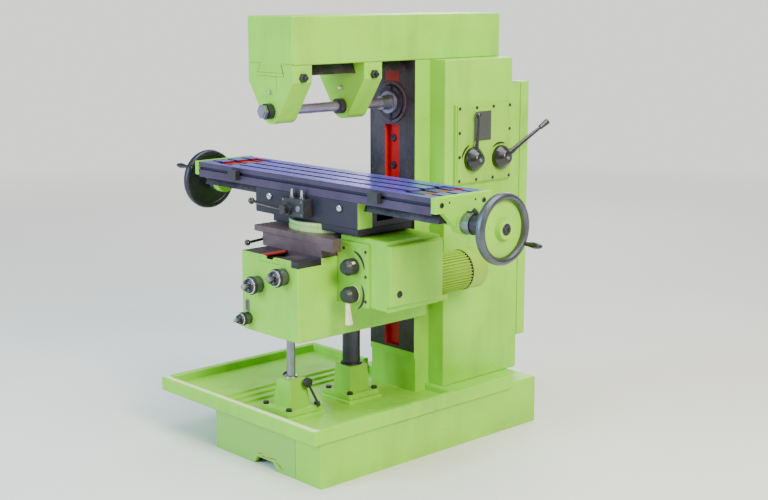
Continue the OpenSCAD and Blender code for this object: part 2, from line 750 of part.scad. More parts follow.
module arbor_collars() color(bright_steel) for (i = [0:collar_count - 1]) difference() {
    rod_y(collar_r - 2 * i, flange_y - (i + 1) * collar_len + 0.2, flange_y - i * collar_len - 0.2, 0, spindle_z);
    rod_y(arbor_r + run_gap, collar_front - nudge, flange_y + nudge, 0, spindle_z);
}

module door_outline(grow) {
    block([-column_half + grow, column_back + 0.5 + grow, door_low + grow],
        [column_half - grow, column_back + door_t - grow, step_z - grow]);
}
hinge_x = -column_half - 8;
hinge_y = column_back + 8;
hinge_zs = [door_low + 120, step_z - 160];
module rear_door() color(paint) {
    latch_x = column_half - 60;
    latch_z = (door_low + step_z) / 2;
    difference() {
        union() {
            difference() {
                door_outline(0);
                translate([0, -door_sheet - nudge, 0]) door_outline(door_sheet);
            }
            rod_y(28, column_back + door_t - 24, column_back + door_t - nudge, latch_x, latch_z);
        }
        // Recess round the latch
        rod_y(24, column_back + door_t - 14, column_back + door_t + nudge, latch_x, latch_z);
    }
    // Latch knob in its recess, and the knuckles that turn on the pins
    rod_y(15, column_back + door_t - 15, column_back + door_t + 2, latch_x, latch_z);
    for (z = hinge_zs) difference() {
        union() {
            rod_z(8, z + knuckle_h + way_gap, z + 2 * knuckle_h, hinge_x, hinge_y);
            block([hinge_x, hinge_y - 3, z + knuckle_h + way_gap], [-column_half + nudge, hinge_y + 5, z + 2 * knuckle_h]);
        }
        rod_z(hinge_r + run_gap, z, z + 2 * knuckle_h + nudge, hinge_x, hinge_y);
    }
}
module door_hinges() color(dark_steel) for (z = hinge_zs) {
    rod_z(hinge_r, z, z + 2 * knuckle_h, hinge_x, hinge_y);
    rod_z(8, z, z + knuckle_h, hinge_x, hinge_y);
    block([hinge_x - 8, column_back - 40, z], [-column_half, hinge_y, z + knuckle_h]);
}

module overarm() color(paint) difference() {
    union() {
        block([-arm_half, -arm_front, arm_low], [arm_half, arm_back, arm_low + arm_h]);
        along_y(-arm_front, arm_back) trapezoid(dovetail_foot, dovetail_neck, arm_low - dovetail_h, arm_low + nudge / 50);
        along_y(-arm_front, arm_back) trapezoid(dovetail_neck, dovetail_neck, arm_low - nudge, arm_low + nudge);
    }
    for (i = [-1, 1], j = [0:6])
        block([i * (arm_half / 2) - (arm_half / 2 - arm_wall), -arm_front + arm_wall + j * 148, arm_low + arm_wall],
            [i * (arm_half / 2) + (arm_half / 2 - arm_wall), -arm_front + arm_wall + j * 148 + 132, arm_low + arm_h - arm_wall]);
}
cheek_z = support_top - support_cheek;
module support(front) difference() {
    union() {
        along_y(-front, -front + support_t) polygon([[-arm_half, support_top], [-arm_half, cheek_z],
            [-support_hub_r * 0.9, spindle_z - support_hub_r * 0.45], [support_hub_r * 0.9, spindle_z - support_hub_r * 0.45],
            [arm_half, cheek_z], [arm_half, support_top]]);
        rod_y(support_hub_r, -front, -front + support_t, 0, spindle_z);
    }
    along_y(-front - nudge, -front + support_t + nudge)
        trapezoid(dovetail_foot + 2 * way_gap, dovetail_neck + way_gap, arm_low - dovetail_h - way_gap, arm_low + nudge);
    rod_y(bush_r + 0.02, -front - nudge, -front + support_t + nudge, 0, spindle_z);
}
module outer_support() color(paint) support(outer_front);
module inner_support() color(paint) support(inner_front);
module bush(front) difference() {
    rod_y(bush_r, -front - bush_front, -front + support_t + bush_back, 0, spindle_z);
    rod_y(arbor_r + run_gap, -front - bush_front - nudge, -front + support_t + bush_back + nudge, 0, spindle_z);
}
module outer_bush() color(dark_steel) bush(outer_front);
module inner_bush() color(dark_steel) bush(inner_front);
module clamp_nut(front) {
    translate([arm_half, -front + support_t / 2, cheek_z + 17]) rotate([0, 90, 0]) {
        cylinder(r=15, h=16, $fn=6);
        cylinder(r=8, h=26);
    }
}
module outer_clamp_nut() color(black_paint) clamp_nut(outer_front);
module inner_clamp_nut() color(black_paint) clamp_nut(inner_front);

lift_chamber_r = 66;
lift_chamber_low = knee_low + 34;
lift_chamber_top = 622;
module knee_casting() color(paint) difference() {
    union() {
        block([-knee_half, -knee_front, knee_low], [knee_half, knee_back, knee_top]);
        for (side = [0, 1]) mirror([side, 0, 0])
            block([way_half + way_gap, knee_back - nudge, knee_low], [knee_half, knee_back + claw_d, knee_top - 22]);
    }
    // Trough in the top, with its undercut and the slot for the cross nut
    block([-knee_trough_half, -knee_front - nudge, tee_z], [knee_trough_half, knee_back + nudge, knee_top + nudge]);
    block([-knee_tee_half, -knee_front - nudge, tee_z - knee_tee_d], [knee_tee_half, knee_back + nudge, tee_z + nudge / 10]);
    block([-cross_x - 24, -slot_front, cross_z - 30], [-cross_x + 24, -slot_back + 8, tee_z]);
    // Weight-saving cells, open below
    block([-knee_half + knee_wall, -knee_front + 75, knee_low - nudge], [-cross_x - 48, -lift_y - 75, 720]);
    block([post_r + 14, -knee_front + knee_wall, knee_low - nudge], [knee_half - knee_wall, -lift_y - 75, 720]);
    for (side = [0, 1]) mirror([side, 0, 0])
        block([lift_chamber_r + 26, -lift_y - 60, knee_low - nudge], [knee_half - knee_wall, knee_back - knee_wall, 720]);
    // Elevating screw: clearance for the sleeve, then the chamber of its collar and gear
    rod_z(sleeve_r + pass_gap, knee_low - nudge, lift_chamber_low + nudge, 0, -lift_y);
    rod_z(lift_chamber_r, lift_chamber_low, lift_chamber_top, 0, -lift_y);
    rod_z(post_r + 0.02, knee_low - nudge, post_seat, 0, -post_y);
    rod_y(cross_r + run_gap, -knee_front - nudge, -slot_back + 60, -cross_x, cross_z);
    rod_y(cross_r + run_gap, -knee_front - nudge, -lift_y - 58, vert_x, vert_z);
    rod_y(cross_r + run_gap, -knee_front - nudge, -knee_front + 60, -lower_x, lower_z);
    for (z = [knee_low + 50, tee_z - 60]) rod_y(6.3, knee_back - knee_wall, knee_back + nudge, 0, z);
}
post_seat = 560;
module knee_keeper() color(dark_steel) {
    block([-trough_half + way_gap, knee_back, knee_low + 25], [trough_half - way_gap, way_face + trough_d + way_gap, tee_z - 25]);
    block([-tee_half + way_gap, way_face + trough_d + way_gap, knee_low + 25], [tee_half - way_gap, way_face + trough_d + tee_d - way_gap, tee_z - 25]);
    for (z = [knee_low + 50, tee_z - 60]) rod_y(6, knee_back - knee_wall + 1, knee_back + nudge, 0, z);
}
module guide_post() color(bright_steel) rod_z(post_r, post_low, post_seat - 0.3, 0, -post_y);
module elevating_screw() color(dark_steel) {
    rod_z(lift_r, lift_low, lift_chamber_top - 12, 0, -lift_y);
    rod_z(lift_chamber_r - 6, lift_chamber_low + way_gap, lift_chamber_low + 24, 0, -lift_y);
    translate([0, -lift_y, lift_chamber_low + 50]) cylinder(r1=lift_chamber_r - 10, r2=lift_r + 6, h=28);
}
module elevating_sleeve() color(dark_steel) difference() {
    rod_z(sleeve_r, sleeve_low, sleeve_top, 0, -lift_y);
    rod_z(lift_r + way_gap, sleeve_low - nudge, sleeve_top + nudge, 0, -lift_y);
}
// A dial with a chamfered nose, clutch teeth and a stub shaft, at the front of the knee
module front_dial(x, z, radius, length) {
    translate([x, -knee_front, z]) rotate([90, 0, 0]) {
        translate([0, 0, 0.5]) cylinder(r=radius * 0.92, h=length * 0.55);
        translate([0, 0, length * 0.55]) cylinder(r=radius, h=length * 0.2);
        translate([0, 0, length * 0.75 - nudge / 10]) cylinder(r1=radius * 0.95, r2=radius * 0.72, h=length * 0.25);
        for (turn = [0, 90]) rotate([0, 0, turn]) translate([-radius * 0.62, -5, length - nudge])
            cube([radius * 1.24, 10, 8]);
        cylinder(r=radius * 0.3, h=length + 26);
    }
}
module cross_screw() color(dark_steel) {
    rod_y(cross_r, -knee_front - nudge, -slot_back + 56, -cross_x, cross_z);
    front_dial(-cross_x, cross_z, dial_r, dial_len);
}
module vertical_shaft() color(dark_steel) {
    rod_y(cross_r, -knee_front - nudge, -lift_y - 64, vert_x, vert_z);
    front_dial(vert_x, vert_z, dial_r, dial_len);
}
module lower_shaft() color(dark_steel) {
    rod_y(cross_r, -knee_front - nudge, -knee_front + 56, -lower_x, lower_z);
    front_dial(-lower_x, lower_z, small_dial_r, dial_len * 0.85);
}

module feed_box() color(paint) difference() {
    union() {
        block([knee_half, -feed_front, feed_low], [feed_right - 22, -feed_back, feed_top]);
        block([feed_right - 22 - nudge, -feed_front, feed_low + 22], [feed_right, -feed_back, feed_top - 14]);
    }
    block([knee_half + feed_wall, -feed_front + feed_wall, feed_low + feed_wall], [300, -feed_back - feed_wall, feed_top - feed_wall]);
    block([312, -feed_front + feed_wall, feed_low + 36], [feed_right - feed_wall, -feed_back - feed_wall, feed_top - 28]);
    for (z = knob_zs) rod_y(11 + run_gap, -feed_front - nudge, -feed_front + feed_wall + nudge, knob_x, z);
    rod_y(motor_gap_r, -feed_back - feed_wall - 30, -feed_back + nudge, fm_x, fm_z);
}
motor_gap_r = 22;
knob_zs = [upper_knob_z, lower_knob_z];
module feed_plate() color(paint) difference() {
    block([knee_half, -feed_front - feed_plate_t, feed_plate_low], [feed_plate_right, -feed_front, feed_plate_top]);
    for (z = knob_zs) rod_y(11 + run_gap, -feed_front - feed_plate_t - nudge, -feed_front + nudge, knob_x, z);
}
// Knob with a dome and a shaft through the plate
module selector(z) {
    translate([knob_x, -feed_front - feed_plate_t, z]) rotate([90, 0, 0]) {
        translate([0, 0, -feed_plate_t - feed_wall - 6]) cylinder(r=11, h=feed_plate_t + feed_wall + 8);
        translate([0, 0, 0.6]) cylinder(r=knob_r, h=34);
        translate([0, 0, 34]) cylinder(r1=knob_r * 0.96, r2=knob_r * 0.7, h=16);
    }
}
module upper_selector() color(black_paint) selector(knob_zs[0]);
module lower_selector() color(black_paint) {
    selector(knob_zs[1]);
    translate([knob_x, -feed_front - feed_plate_t - 32, knob_zs[1] - knob_r + 6]) rotate([180, 0, 0])
        cylinder(r1=8, r2=14, h=82);
}
fm_front = -feed_back;
module feed_motor() color(paint) difference() {
    union() {
        rod_y(fm_r - fin_d, fm_front, fm_front + fm_len, fm_x, fm_z);
        for (i = [0:fin_count - 1]) translate([fm_x, 0, fm_z]) rotate([0, i * 360 / fin_count, 0])
            block([-2, fm_front + 16, fm_r - fin_d - 3], [2, fm_front + fm_len - 10, fm_r - 1]);
        rod_y(fm_r, fm_front, fm_front + 16, fm_x, fm_z);
        rod_y(fm_r, fm_front + fm_len - 8, fm_front + fm_len + cowl_len, fm_x, fm_z);
    }
    rod_y(12 + pass_gap, fm_front - nudge, fm_front + fm_len + nudge, fm_x, fm_z);
    rod_y(48, fm_front + 30, fm_front + fm_len - 30, fm_x, fm_z);
    rod_y(fm_r - 5, fm_front + fm_len, fm_front + fm_len + cowl_len - 5, fm_x, fm_z);
    for (i = [0:11]) translate([fm_x, 0, fm_z]) rotate([0, i * 30, 0])
        block([-3.5, fm_front + fm_len + cowl_len - 5 - nudge, 24], [3.5, fm_front + fm_len + cowl_len + nudge, 62]);
}
module feed_rotor() color(dark_steel) {
    rod_y(12, fm_front - 30, fm_front + fm_len + 36, fm_x, fm_z);
    rod_y(45, fm_front + 34, fm_front + fm_len - 34, fm_x, fm_z);
    // Fan
    rod_y(20, fm_front + fm_len + 14, fm_front + fm_len + 40, fm_x, fm_z);
    for (i = [0:6]) translate([fm_x, fm_front + fm_len + 17, fm_z]) rotate([0, i * 360 / 7, 0])
        block([-1.5, 0, 15], [1.5, 20, fm_r - 12]);
}

module saddle() color(dark_steel) difference() {
    union() {
        block([-saddle_left, -saddle_front, plate_low_z - nudge / 10], [saddle_right, -saddle_back, saddle_top]);
        block([saddle_right - nudge, -saddle_front, plate_low_z - 22], [lug_right, -saddle_front + lug_d, saddle_top]);
        block([-saddle_block_left, -saddle_front + 4, saddle_low], [saddle_right, -saddle_back, plate_low_z]);
        // T-shaped guide that rides in the knee's trough, and the bracket of the cross nut
        block([-knee_trough_half + way_gap, -saddle_front + 12, tee_z - way_gap], [knee_trough_half - way_gap, -saddle_back, saddle_low + nudge]);
        block([-knee_tee_half + way_gap, -saddle_front + 12, tee_z - knee_tee_d + way_gap], [knee_tee_half - way_gap, -saddle_back, tee_z - way_gap]);
        block([-cross_x - 21, -swivel_y - nut_reach, cross_z - 26], [-cross_x + 21, -swivel_y + nut_reach, tee_z]);
    }
    rod_y(cross_r + 0.3, -swivel_y - nut_reach - nudge, -swivel_y + nut_reach + nudge, -cross_x, cross_z);
    rod_z(pivot_r + way_gap, saddle_top - 30, saddle_top + nudge, 0, -swivel_y);
    rod_x(8 + way_gap, -saddle_block_left - nudge, -saddle_block_left + 42, saddle_lever_y, saddle_low + 18);
}
pivot_r = 40;
saddle_lever_y = -saddle_front + 45;
// Clamp rod of the saddle, which turns about its own axis
module saddle_lever() color(black_paint) translate([-saddle_block_left, saddle_lever_y, saddle_low + 18]) {
    rod_x(8, -26, 40, 0, 0);
    rod_x(13, -40, -14, 0, 0);
    rotate([94, 0, 0]) {
        rod_z(5.5, 0, 92, -27, 0);
        translate([-27, 0, 92]) sphere(r=12);
    }
}

module carriage() color(dark_steel) difference() {
    union() {
        block([-carriage_half, -table_front, carriage_low], [carriage_half, -table_back, carriage_top]);
        block([-drop_left, -table_front + 2, carriage_drop], [carriage_half - nudge, -table_back - 2, carriage_low + nudge]);
        rod_z(swivel_r - 10, saddle_top + way_gap, carriage_low + nudge, 0, -swivel_y);
        rod_z(pivot_r, saddle_top - 28, carriage_low, 0, -swivel_y);
    }
    // Female dovetail for the table and the channel of its screw
    translate([0, -swivel_y, 0]) along_x(-carriage_half - nudge, carriage_half + nudge) {
        trapezoid(tongue_foot + 2 * way_gap, tongue_neck + way_gap, tongue_low - way_gap, carriage_top + nudge / 50);
        trapezoid(tongue_neck + way_gap, tongue_neck + way_gap, carriage_top - nudge, carriage_top + nudge);
        trapezoid(channel_half, channel_half, carriage_low + 22, carriage_top);
    }
    difference() {
        rod_z(swivel_r + 0.3, saddle_top - nudge, saddle_top + swivel_h, 0, -swivel_y);
        rod_z(swivel_r - 10, saddle_top - nudge, saddle_top + swivel_h + nudge, 0, -swivel_y);
    }
}
module swivel_ring() color(paint) difference() {
    rod_z(swivel_r, saddle_top + way_gap, saddle_top + swivel_h - 0.3, 0, -swivel_y);
    rod_z(swivel_r - 9.7, saddle_top - nudge, saddle_top + swivel_h + nudge, 0, -swivel_y);
}
module table_nut() color([0.7, 0.55, 0.25]) difference() {
    block([-45, -swivel_y - channel_half + 6, carriage_low + 22], [45, -swivel_y + channel_half - 6, tongue_low + 26]);
    rod_x(screw_shaft_r + 0.3, -46, 46, -swivel_y, table_screw_z);
}
block_low = 895;
block_top = 961;
block_face = -table_front - block_d;
plunger_xs = [-52, 4];
plunger_y = -table_front - 14;
lever_pivot = [-46, 920];
module control_block() color(black_paint) difference() {
    union() {
        block([-block_left, block_face, block_low], [block_right, -table_front, block_top]);
        rod_y(24, block_face - 10, block_face + nudge, lever_pivot[0], lever_pivot[1]);
    }
    for (x = plunger_xs) rod_z(6 + way_gap, block_top - 40, block_top + nudge, x, plunger_y);
    rod_y(8 + run_gap, block_face - 12, block_face + 16, lever_pivot[0], lever_pivot[1]);
}
module feed_lever() color(black_paint) translate([lever_pivot[0], block_face - 10, lever_pivot[1]]) {
    rod_y(8, -14, 24, 0, 0);
    rod_y(17, -18, -0.6, 0, 0);
    rotate([0, 3, 0]) {
        rod_x(6, -190, 0, -9, 0);
        translate([-190, -9, 0]) rotate([0, 90, 0]) sphere(r=13);
    }
}
module plunger(x) {
    rod_z(6, block_top - 30, block_top + 20, x, plunger_y);
    rod_z(5, block_top + 19, block_top + 30, x, plunger_y);
}
module left_plunger() color(bright_steel) plunger(plunger_xs[0]);
module right_plunger() color(bright_steel) plunger(plunger_xs[1]);

pocket_len = 105;
module table() color([0.36, 0.36, 0.52]) difference() {
    union() {
        block([-table_half, -table_front, table_low], [table_half, -table_back, table_top]);
        translate([0, -swivel_y, 0]) along_x(-table_half, table_half) {
            trapezoid(tongue_foot, tongue_neck, tongue_low, table_low + nudge / 50);
            trapezoid(tongue_neck, tongue_neck, table_low - nudge, table_low + nudge);
        }
    }
    translate([0, -swivel_y, 0]) along_x(-table_half - nudge, table_half + nudge)
        trapezoid(channel_half, channel_half, tongue_low - nudge, table_low + 10);
    for (i = [0:slot_count - 1]) {
        y = -swivel_y + (i - (slot_count - 1) / 2) * slot_pitch;
        block([-table_half - nudge, y - slot_w / 2, table_top - slot_throat - nudge], [table_half + nudge, y + slot_w / 2, table_top + nudge]);
        block([-table_half - nudge, y - slot_wide / 2, table_top - slot_throat - slot_under],
            [table_half + nudge, y + slot_wide / 2, table_top - slot_throat]);
    }
    block([-table_half - nudge, -table_front - nudge, groove_z - groove_w / 2], [table_half + nudge, -table_front + groove_d, groove_z + groove_w / 2]);
    // Shallow coolant pockets at both ends
    for (side = [-1, 1]) translate([side * (table_half - 70 - pocket_len / 2), -swivel_y, table_top - 6])
        translate([-pocket_len / 2, -table_w / 2 + 30, 0]) cube([pocket_len, table_w - 60, 7]);
}
module end_bracket() difference() {
    union() {
        block([table_half, -table_front - 3, table_low + 8], [table_half + bracket_t, -table_back + 3, table_top + 2]);
        along_x(table_half, table_half + bracket_t) polygon([[-table_front + 30, table_low + 9], [-table_back - 30, table_low + 9],
            [-swivel_y + bracket_hub_r * 0.9, table_screw_z - 18], [-swivel_y - bracket_hub_r * 0.9, table_screw_z - 18]]);
        rod_x(bracket_hub_r, table_half, table_half + hub_end, -swivel_y, table_screw_z);
    }
    rod_x(screw_shaft_r + run_gap, table_half - nudge, table_half + hub_end + nudge, -swivel_y, table_screw_z);
}
module end_brackets() color(paint) for (side = [0, 1]) mirror([side, 0, 0]) end_bracket();
dog_xs = [-413, 387];
module trip_dogs() color(black_paint) for (x = dog_xs) {
    block([x - 25, -table_front - 20, groove_z - 22], [x + 25, -table_front - 0.3, groove_z + 16]);
    block([x - 18, -table_front - nudge, groove_z - groove_w / 2 + 0.5], [x + 18, -table_front + groove_d - 1, groove_z + groove_w / 2 - 0.5]);
}
// The dial beside each end bracket and the collar between it and the handwheel
module screw_end(wheel_x) {
    rod_x(screw_shaft_r, 0, table_half + wheel_x + 26, -swivel_y, table_screw_z);
    rod_x(table_dial_r, table_half + hub_end + 0.6, table_half + hub_end + 37, -swivel_y, table_screw_z);
    rod_x(table_dial_r - 4, table_half + hub_end + 37 - nudge / 10, table_half + wheel_x - 26, -swivel_y, table_screw_z);
}
module table_screw() color(bright_steel) {
    screw_end(wheel_right);
    mirror([1, 0, 0]) screw_end(wheel_left);
}
grip_angle = [-32, 149];
grip_hole_r = wheel_r - rim_r + 2;
module handwheel(wheel_x, angle) translate([table_half + wheel_x, -swivel_y, table_screw_z]) difference() {
    union() {
        rotate([0, 90, 0]) rotate_extrude() {
            translate([wheel_r - rim_r, 0]) circle(r=rim_r);
            polygon([[screw_shaft_r - 2, -24], [30, -24], [34, -6], [wheel_r - rim_r, -5],
                [wheel_r - rim_r, 1], [36, 2], [32, 22], [screw_shaft_r - 2, 22]]);
        }
        rotate([angle, 0, 0]) rod_x(10, -rim_r, rim_r + 1, grip_hole_r, 0);
    }
    rod_x(screw_shaft_r + 0.02, -40, 40, 0, 0);
    rotate([angle, 0, 0]) rod_x(5 + run_gap, -rim_r - nudge, rim_r + 2, grip_hole_r, 0);
}
module handwheels() color(dark_steel) {
    handwheel(wheel_right, grip_angle[0]);
    mirror([1, 0, 0]) handwheel(wheel_left, grip_angle[1]);
}
module grip(wheel_x, angle) translate([table_half + wheel_x, -swivel_y, table_screw_z]) rotate([angle, 0, 0]) {
    rod_x(5, -rim_r + 1, rim_r + 4, grip_hole_r, 0);
    translate([rim_r + 1.5, grip_hole_r, 0]) rotate([0, 90, 0]) {
        cylinder(r1=7, r2=11, h=grip_len * 0.55);
        translate([0, 0, grip_len * 0.55 - nudge / 10]) cylinder(r1=11, r2=8, h=grip_len * 0.35);
        translate([0, 0, grip_len * 0.87]) sphere(r=9);
    }
}
module right_grip() color(black_paint) grip(wheel_right, grip_angle[0]);
module left_grip() color(black_paint) mirror([1, 0, 0]) grip(wheel_left, grip_angle[1]);

base_casting();
front_pedestal();
rear_pedestal();
pedestal_bolts();
post_clamp_lever();
column_casting();
nose_ring();
shaft_bearings();
speed_plate();
speed_window();
plate_screws();
main_motor();
drive_belt();
door_hinges();
rear_door();
spindle();
spindle_gear();
arbor();
arbor_collars();
input_shaft();
motor_rotor();
front_speed_lever();
rear_speed_lever();
overarm();
outer_support();
inner_support();
outer_bush();
inner_bush();
outer_clamp_nut();
inner_clamp_nut();
knee_casting();
knee_keeper();
feed_box();
feed_plate();
feed_motor();
feed_rotor();
guide_post();
upper_selector();
lower_selector();
elevating_screw();
elevating_sleeve();
cross_screw();
vertical_shaft();
lower_shaft();
saddle();
saddle_lever();
carriage();
table_nut();
swivel_ring();
control_block();
feed_lever();
left_plunger();
right_plunger();
table();
end_brackets();
trip_dogs();
table_screw();
handwheels();
right_grip();
left_grip();
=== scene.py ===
import math

import bmesh
import bpy
from mathutils import Matrix, Vector


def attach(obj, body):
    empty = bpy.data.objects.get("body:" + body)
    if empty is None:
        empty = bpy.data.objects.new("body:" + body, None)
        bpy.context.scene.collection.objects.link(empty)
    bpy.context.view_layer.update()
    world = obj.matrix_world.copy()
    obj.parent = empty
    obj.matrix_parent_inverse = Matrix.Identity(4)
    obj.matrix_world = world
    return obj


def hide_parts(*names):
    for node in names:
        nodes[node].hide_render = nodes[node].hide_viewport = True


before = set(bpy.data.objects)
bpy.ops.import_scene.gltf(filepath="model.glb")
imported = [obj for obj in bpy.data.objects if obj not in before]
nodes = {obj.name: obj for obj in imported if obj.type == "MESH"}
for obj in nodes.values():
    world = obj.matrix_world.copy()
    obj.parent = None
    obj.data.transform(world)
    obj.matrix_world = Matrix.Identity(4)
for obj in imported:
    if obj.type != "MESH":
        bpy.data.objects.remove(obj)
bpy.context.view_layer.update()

MM = 0.001
# How much deeper a paint's colour is made, and the tone of the far floor and of the backdrop
DEPTH = 1.7
FAR_TONE = (1.32, 1.32, 1.29, 1.0)
# Half the table's length, the line of its screw, and its top
TABLE_END = 655
SCREW_Y = -199.5
SCREW_Z = 940
TABLE_TOP = 1033
# The rims of the handwheels beyond the table's ends: side and distance
RIGHT_WHEEL = (1, 190)
LEFT_WHEEL = (-1, 115)
GRIP_CIRCLE = 111
SPINDLE_Z = 1285
OUTER_FRONT = -481
INNER_FRONT = -148
WAY_TOP = 1201
KNEE_FRONT = -500.0
KNEE_TOP = 768
TRAY_RIM = 222
# The outer faces of the speed plate, along X, and of the feed box's raised plate, along Y
PLATE_FACE = 225
FEED_FACE = -317
KNOB_X = 254
UPPER_KNOB_Z = 743
LOWER_KNOB_Z = 642
# The levers' hubs on the speed plate, as Y and Z
FRONT_HUB = (318, 1068)
REAR_HUB = (474, 1064)
MOTOR_X = 300
MOTOR_Z = 668
POST_Y = -404
LIFT_Y = -107
FLANGE_TOP = 196.0
CLAMP_Y = -375
CLAMP_Z = 284
FORWARD = (0, -1, 0)
BACKWARD = (0, 1, 0)
RIGHTWARD = (1, 0, 0)
UPWARD = (0, 0, 1)
scene = bpy.context.scene


# Camera, studio floor and lights

def place_camera():
    lens = bpy.data.cameras.new("photo_view")
    lens.sensor_width = 36.0
    lens.lens = 62.61
    camera = bpy.data.objects.new("photo_view", lens)
    camera.location = (3.7174, -3.4019, 1.700)
    camera.rotation_euler = (math.radians(79.0343), 0.0, math.radians(46.9956))
    scene.collection.objects.link(camera)
    scene.camera = camera


def soft_box(name, at, aim, size, power, colour):
    """A square studio light at a place, turned towards a point."""
    lamp = bpy.data.lights.new(name, "AREA")
    lamp.shape = "SQUARE"
    lamp.size = size
    lamp.energy = power
    lamp.color = colour
    holder = bpy.data.objects.new(name, lamp)
    holder.location = at
    holder.rotation_euler = (Vector(aim) - Vector(at)).to_track_quat("-Z", "Y").to_euler()
    scene.collection.objects.link(holder)


def light_studio():
    centre = (0.0, 0.0, 0.8)
    soft_box("key_right", (5.2, -1.2, 4.0), centre, 2.4, 540.0, (1.0, 0.88, 0.55))
    soft_box("fill_front", (-1.6, -5.6, 3.0), centre, 3.4, 400.0, (0.52, 0.90, 1.10))
    soft_box("top", (0.6, 0.2, 5.4), centre, 4.0, 330.0, (0.94, 0.98, 1.0))
    soft_box("back", (-3.5, 5.0, 3.6), centre, 3.0, 200.0, (1.0, 0.97, 0.92))
    world = bpy.data.worlds.new("pale_room")
    world.use_nodes = True
    tree = world.node_tree
    glow = tree.nodes["Background"]
    glow.inputs["Color"].default_value = (0.93, 0.95, 0.98, 1.0)
    glow.inputs["Strength"].default_value = 0.46
    # The camera sees the tone into which the floor fades
    seen = tree.nodes.new("ShaderNodeBackground")
    seen.inputs["Color"].default_value = FAR_TONE
    seen.inputs["Strength"].default_value = 1.0
    either = tree.nodes.new("ShaderNodeMixShader")
    rays = tree.nodes.new("ShaderNodeLightPath")
    tree.links.new(rays.outputs["Is Camera Ray"], either.inputs[0])
    tree.links.new(glow.outputs[0], either.inputs[1])
    tree.links.new(seen.outputs[0], either.inputs[2])
    tree.links.new(either.outputs[0], tree.nodes["World Output"].inputs["Surface"])
    scene.world = world


def lay_floor():
    """A plain pale floor that reaches past the view."""
    reach = 60.0
    mesh = bpy.data.meshes.new("floor")
    corners = [(x * reach, y * reach, 0.0) for x, y in ((-1, -1), (1, -1), (1, 1), (-1, 1))]
    mesh.from_pydata(corners, [], [(0, 1, 2, 3)])
    material, tree, shader, place = new_finish("pale_floor")
    cloud = speckle(tree, place, 0.7, 3.0)
    link(tree, tones(tree, cloud, ((0.3, (0.70, 0.70, 0.69)), (0.7, (0.75, 0.75, 0.74)))), shader,
         "Base Color")
    shader.inputs["Roughness"].default_value = 0.95
    shader.inputs["Specular IOR Level"].default_value = 0.0
    length = tree.nodes.new("ShaderNodeVectorMath")
    length.operation = "LENGTH"
    tree.links.new(place, length.inputs[0])
    far = tree.nodes.new("ShaderNodeEmission")
    far.inputs["Color"].default_value = FAR_TONE
    fade = tree.nodes.new("ShaderNodeMixShader")
    fade_start, fade_end = 2.2, 8.5
    tree.links.new(level(tree, length.outputs["Value"], 0.0, 1.0, fade_start, fade_end), fade.inputs[0])
    tree.links.new(shader.outputs[0], fade.inputs[1])
    tree.links.new(far.outputs[0], fade.inputs[2])
    tree.links.new(fade.outputs[0], tree.nodes["Material Output"].inputs["Surface"])
    mesh.materials.append(material)
    floor = bpy.data.objects.new("floor", mesh)
    scene.collection.objects.link(floor)


# Finishes

def tint(red, green, blue):
    """A colour as a screen shows it, 0 to 255, made linear and deepened, since the view pales it."""
    plain = []
    for c in (red, green, blue):
        plain.append(c / 255.0 / 12.92 if c < 10.3 else ((c / 255.0 + 0.055) / 1.055) ** 2.4)
    most = max(plain)
    return tuple(most * (c / most) ** DEPTH for c in plain)


def shade(colour, factor):
    return tuple(min(1.0, factor * c) for c in colour)


def new_finish(name):
    """An empty material: its tree, its shader and the object's own coordinates."""
    material = bpy.data.materials.new(name)
    material.use_nodes = True
    tree = material.node_tree
    place = tree.nodes.new("ShaderNodeTexCoord").outputs["Object"]
    return material, tree, tree.nodes["Principled BSDF"], place


def link(tree, output, node, socket):
    tree.links.new(output, node.inputs[socket])


def speckle(tree, place, scale, detail=3.0, stretch=(1.0, 1.0, 1.0), shift=(0.0, 0.0, 0.0)):
    """Noise from 0 to 1 on the object's own coordinates."""
    mapping = tree.nodes.new("ShaderNodeMapping")
    mapping.inputs["Scale"].default_value = stretch
    mapping.inputs["Location"].default_value = shift
    link(tree, place, mapping, "Vector")
    noise = tree.nodes.new("ShaderNodeTexNoise")
    noise.inputs["Scale"].default_value = scale
    noise.inputs["Detail"].default_value = detail
    noise.inputs["Roughness"].default_value = 0.6
    link(tree, mapping.outputs["Vector"], noise, "Vector")
    return noise.outputs["Fac"]


def tones(tree, value, stops):
    """Colours along a value, as (place, colour) pairs."""
    ramp = tree.nodes.new("ShaderNodeValToRGB")
    band = ramp.color_ramp
    while len(band.elements) < len(stops):
        band.elements.new(0.5)
    for element, (position, colour) in zip(band.elements, stops):
        element.position = position
        element.color = (*colour, 1.0)
    link(tree, value, ramp, "Fac")
    return ramp.outputs["Color"]


def level(tree, value, low, high, start=0.0, end=1.0):
    """A value between start and end, carried to the range from low to high."""
    spread = tree.nodes.new("ShaderNodeMapRange")
    for socket, number in (("From Min", start), ("From Max", end), ("To Min", low), ("To Max", high)):
        spread.inputs[socket].default_value = number
    link(tree, value, spread, "Value")
    return spread.outputs["Result"]


def layered(tree, amount, under, over):
    """One colour over another, by an amount from 0 to 1. Either may be a plain colour."""
    mix = tree.nodes.new("ShaderNodeMix")
    mix.data_type = "RGBA"
    sockets = [socket for socket in mix.inputs if socket.type == "RGBA"]
    tree.links.new(amount, mix.inputs[0])
    for socket, colour in zip(sockets, (under, over)):
        if isinstance(colour, tuple):
            socket.default_value = (*colour, 1.0)
        else:
            tree.links.new(colour, socket)
    return [socket for socket in mix.outputs if socket.type == "RGBA"][0]


def reckon(tree, kind, first, second):
    """Arithmetic on two values, either of which may be a number, in a material or in a geometry tree."""
    node = tree.nodes.new("ShaderNodeMath")
    node.operation = kind
    for index, value in enumerate((first, second)):
        if isinstance(value, (int, float)):
            node.inputs[index].default_value = value
        else:
            tree.links.new(value, node.inputs[index])
    return node.outputs["Value"]


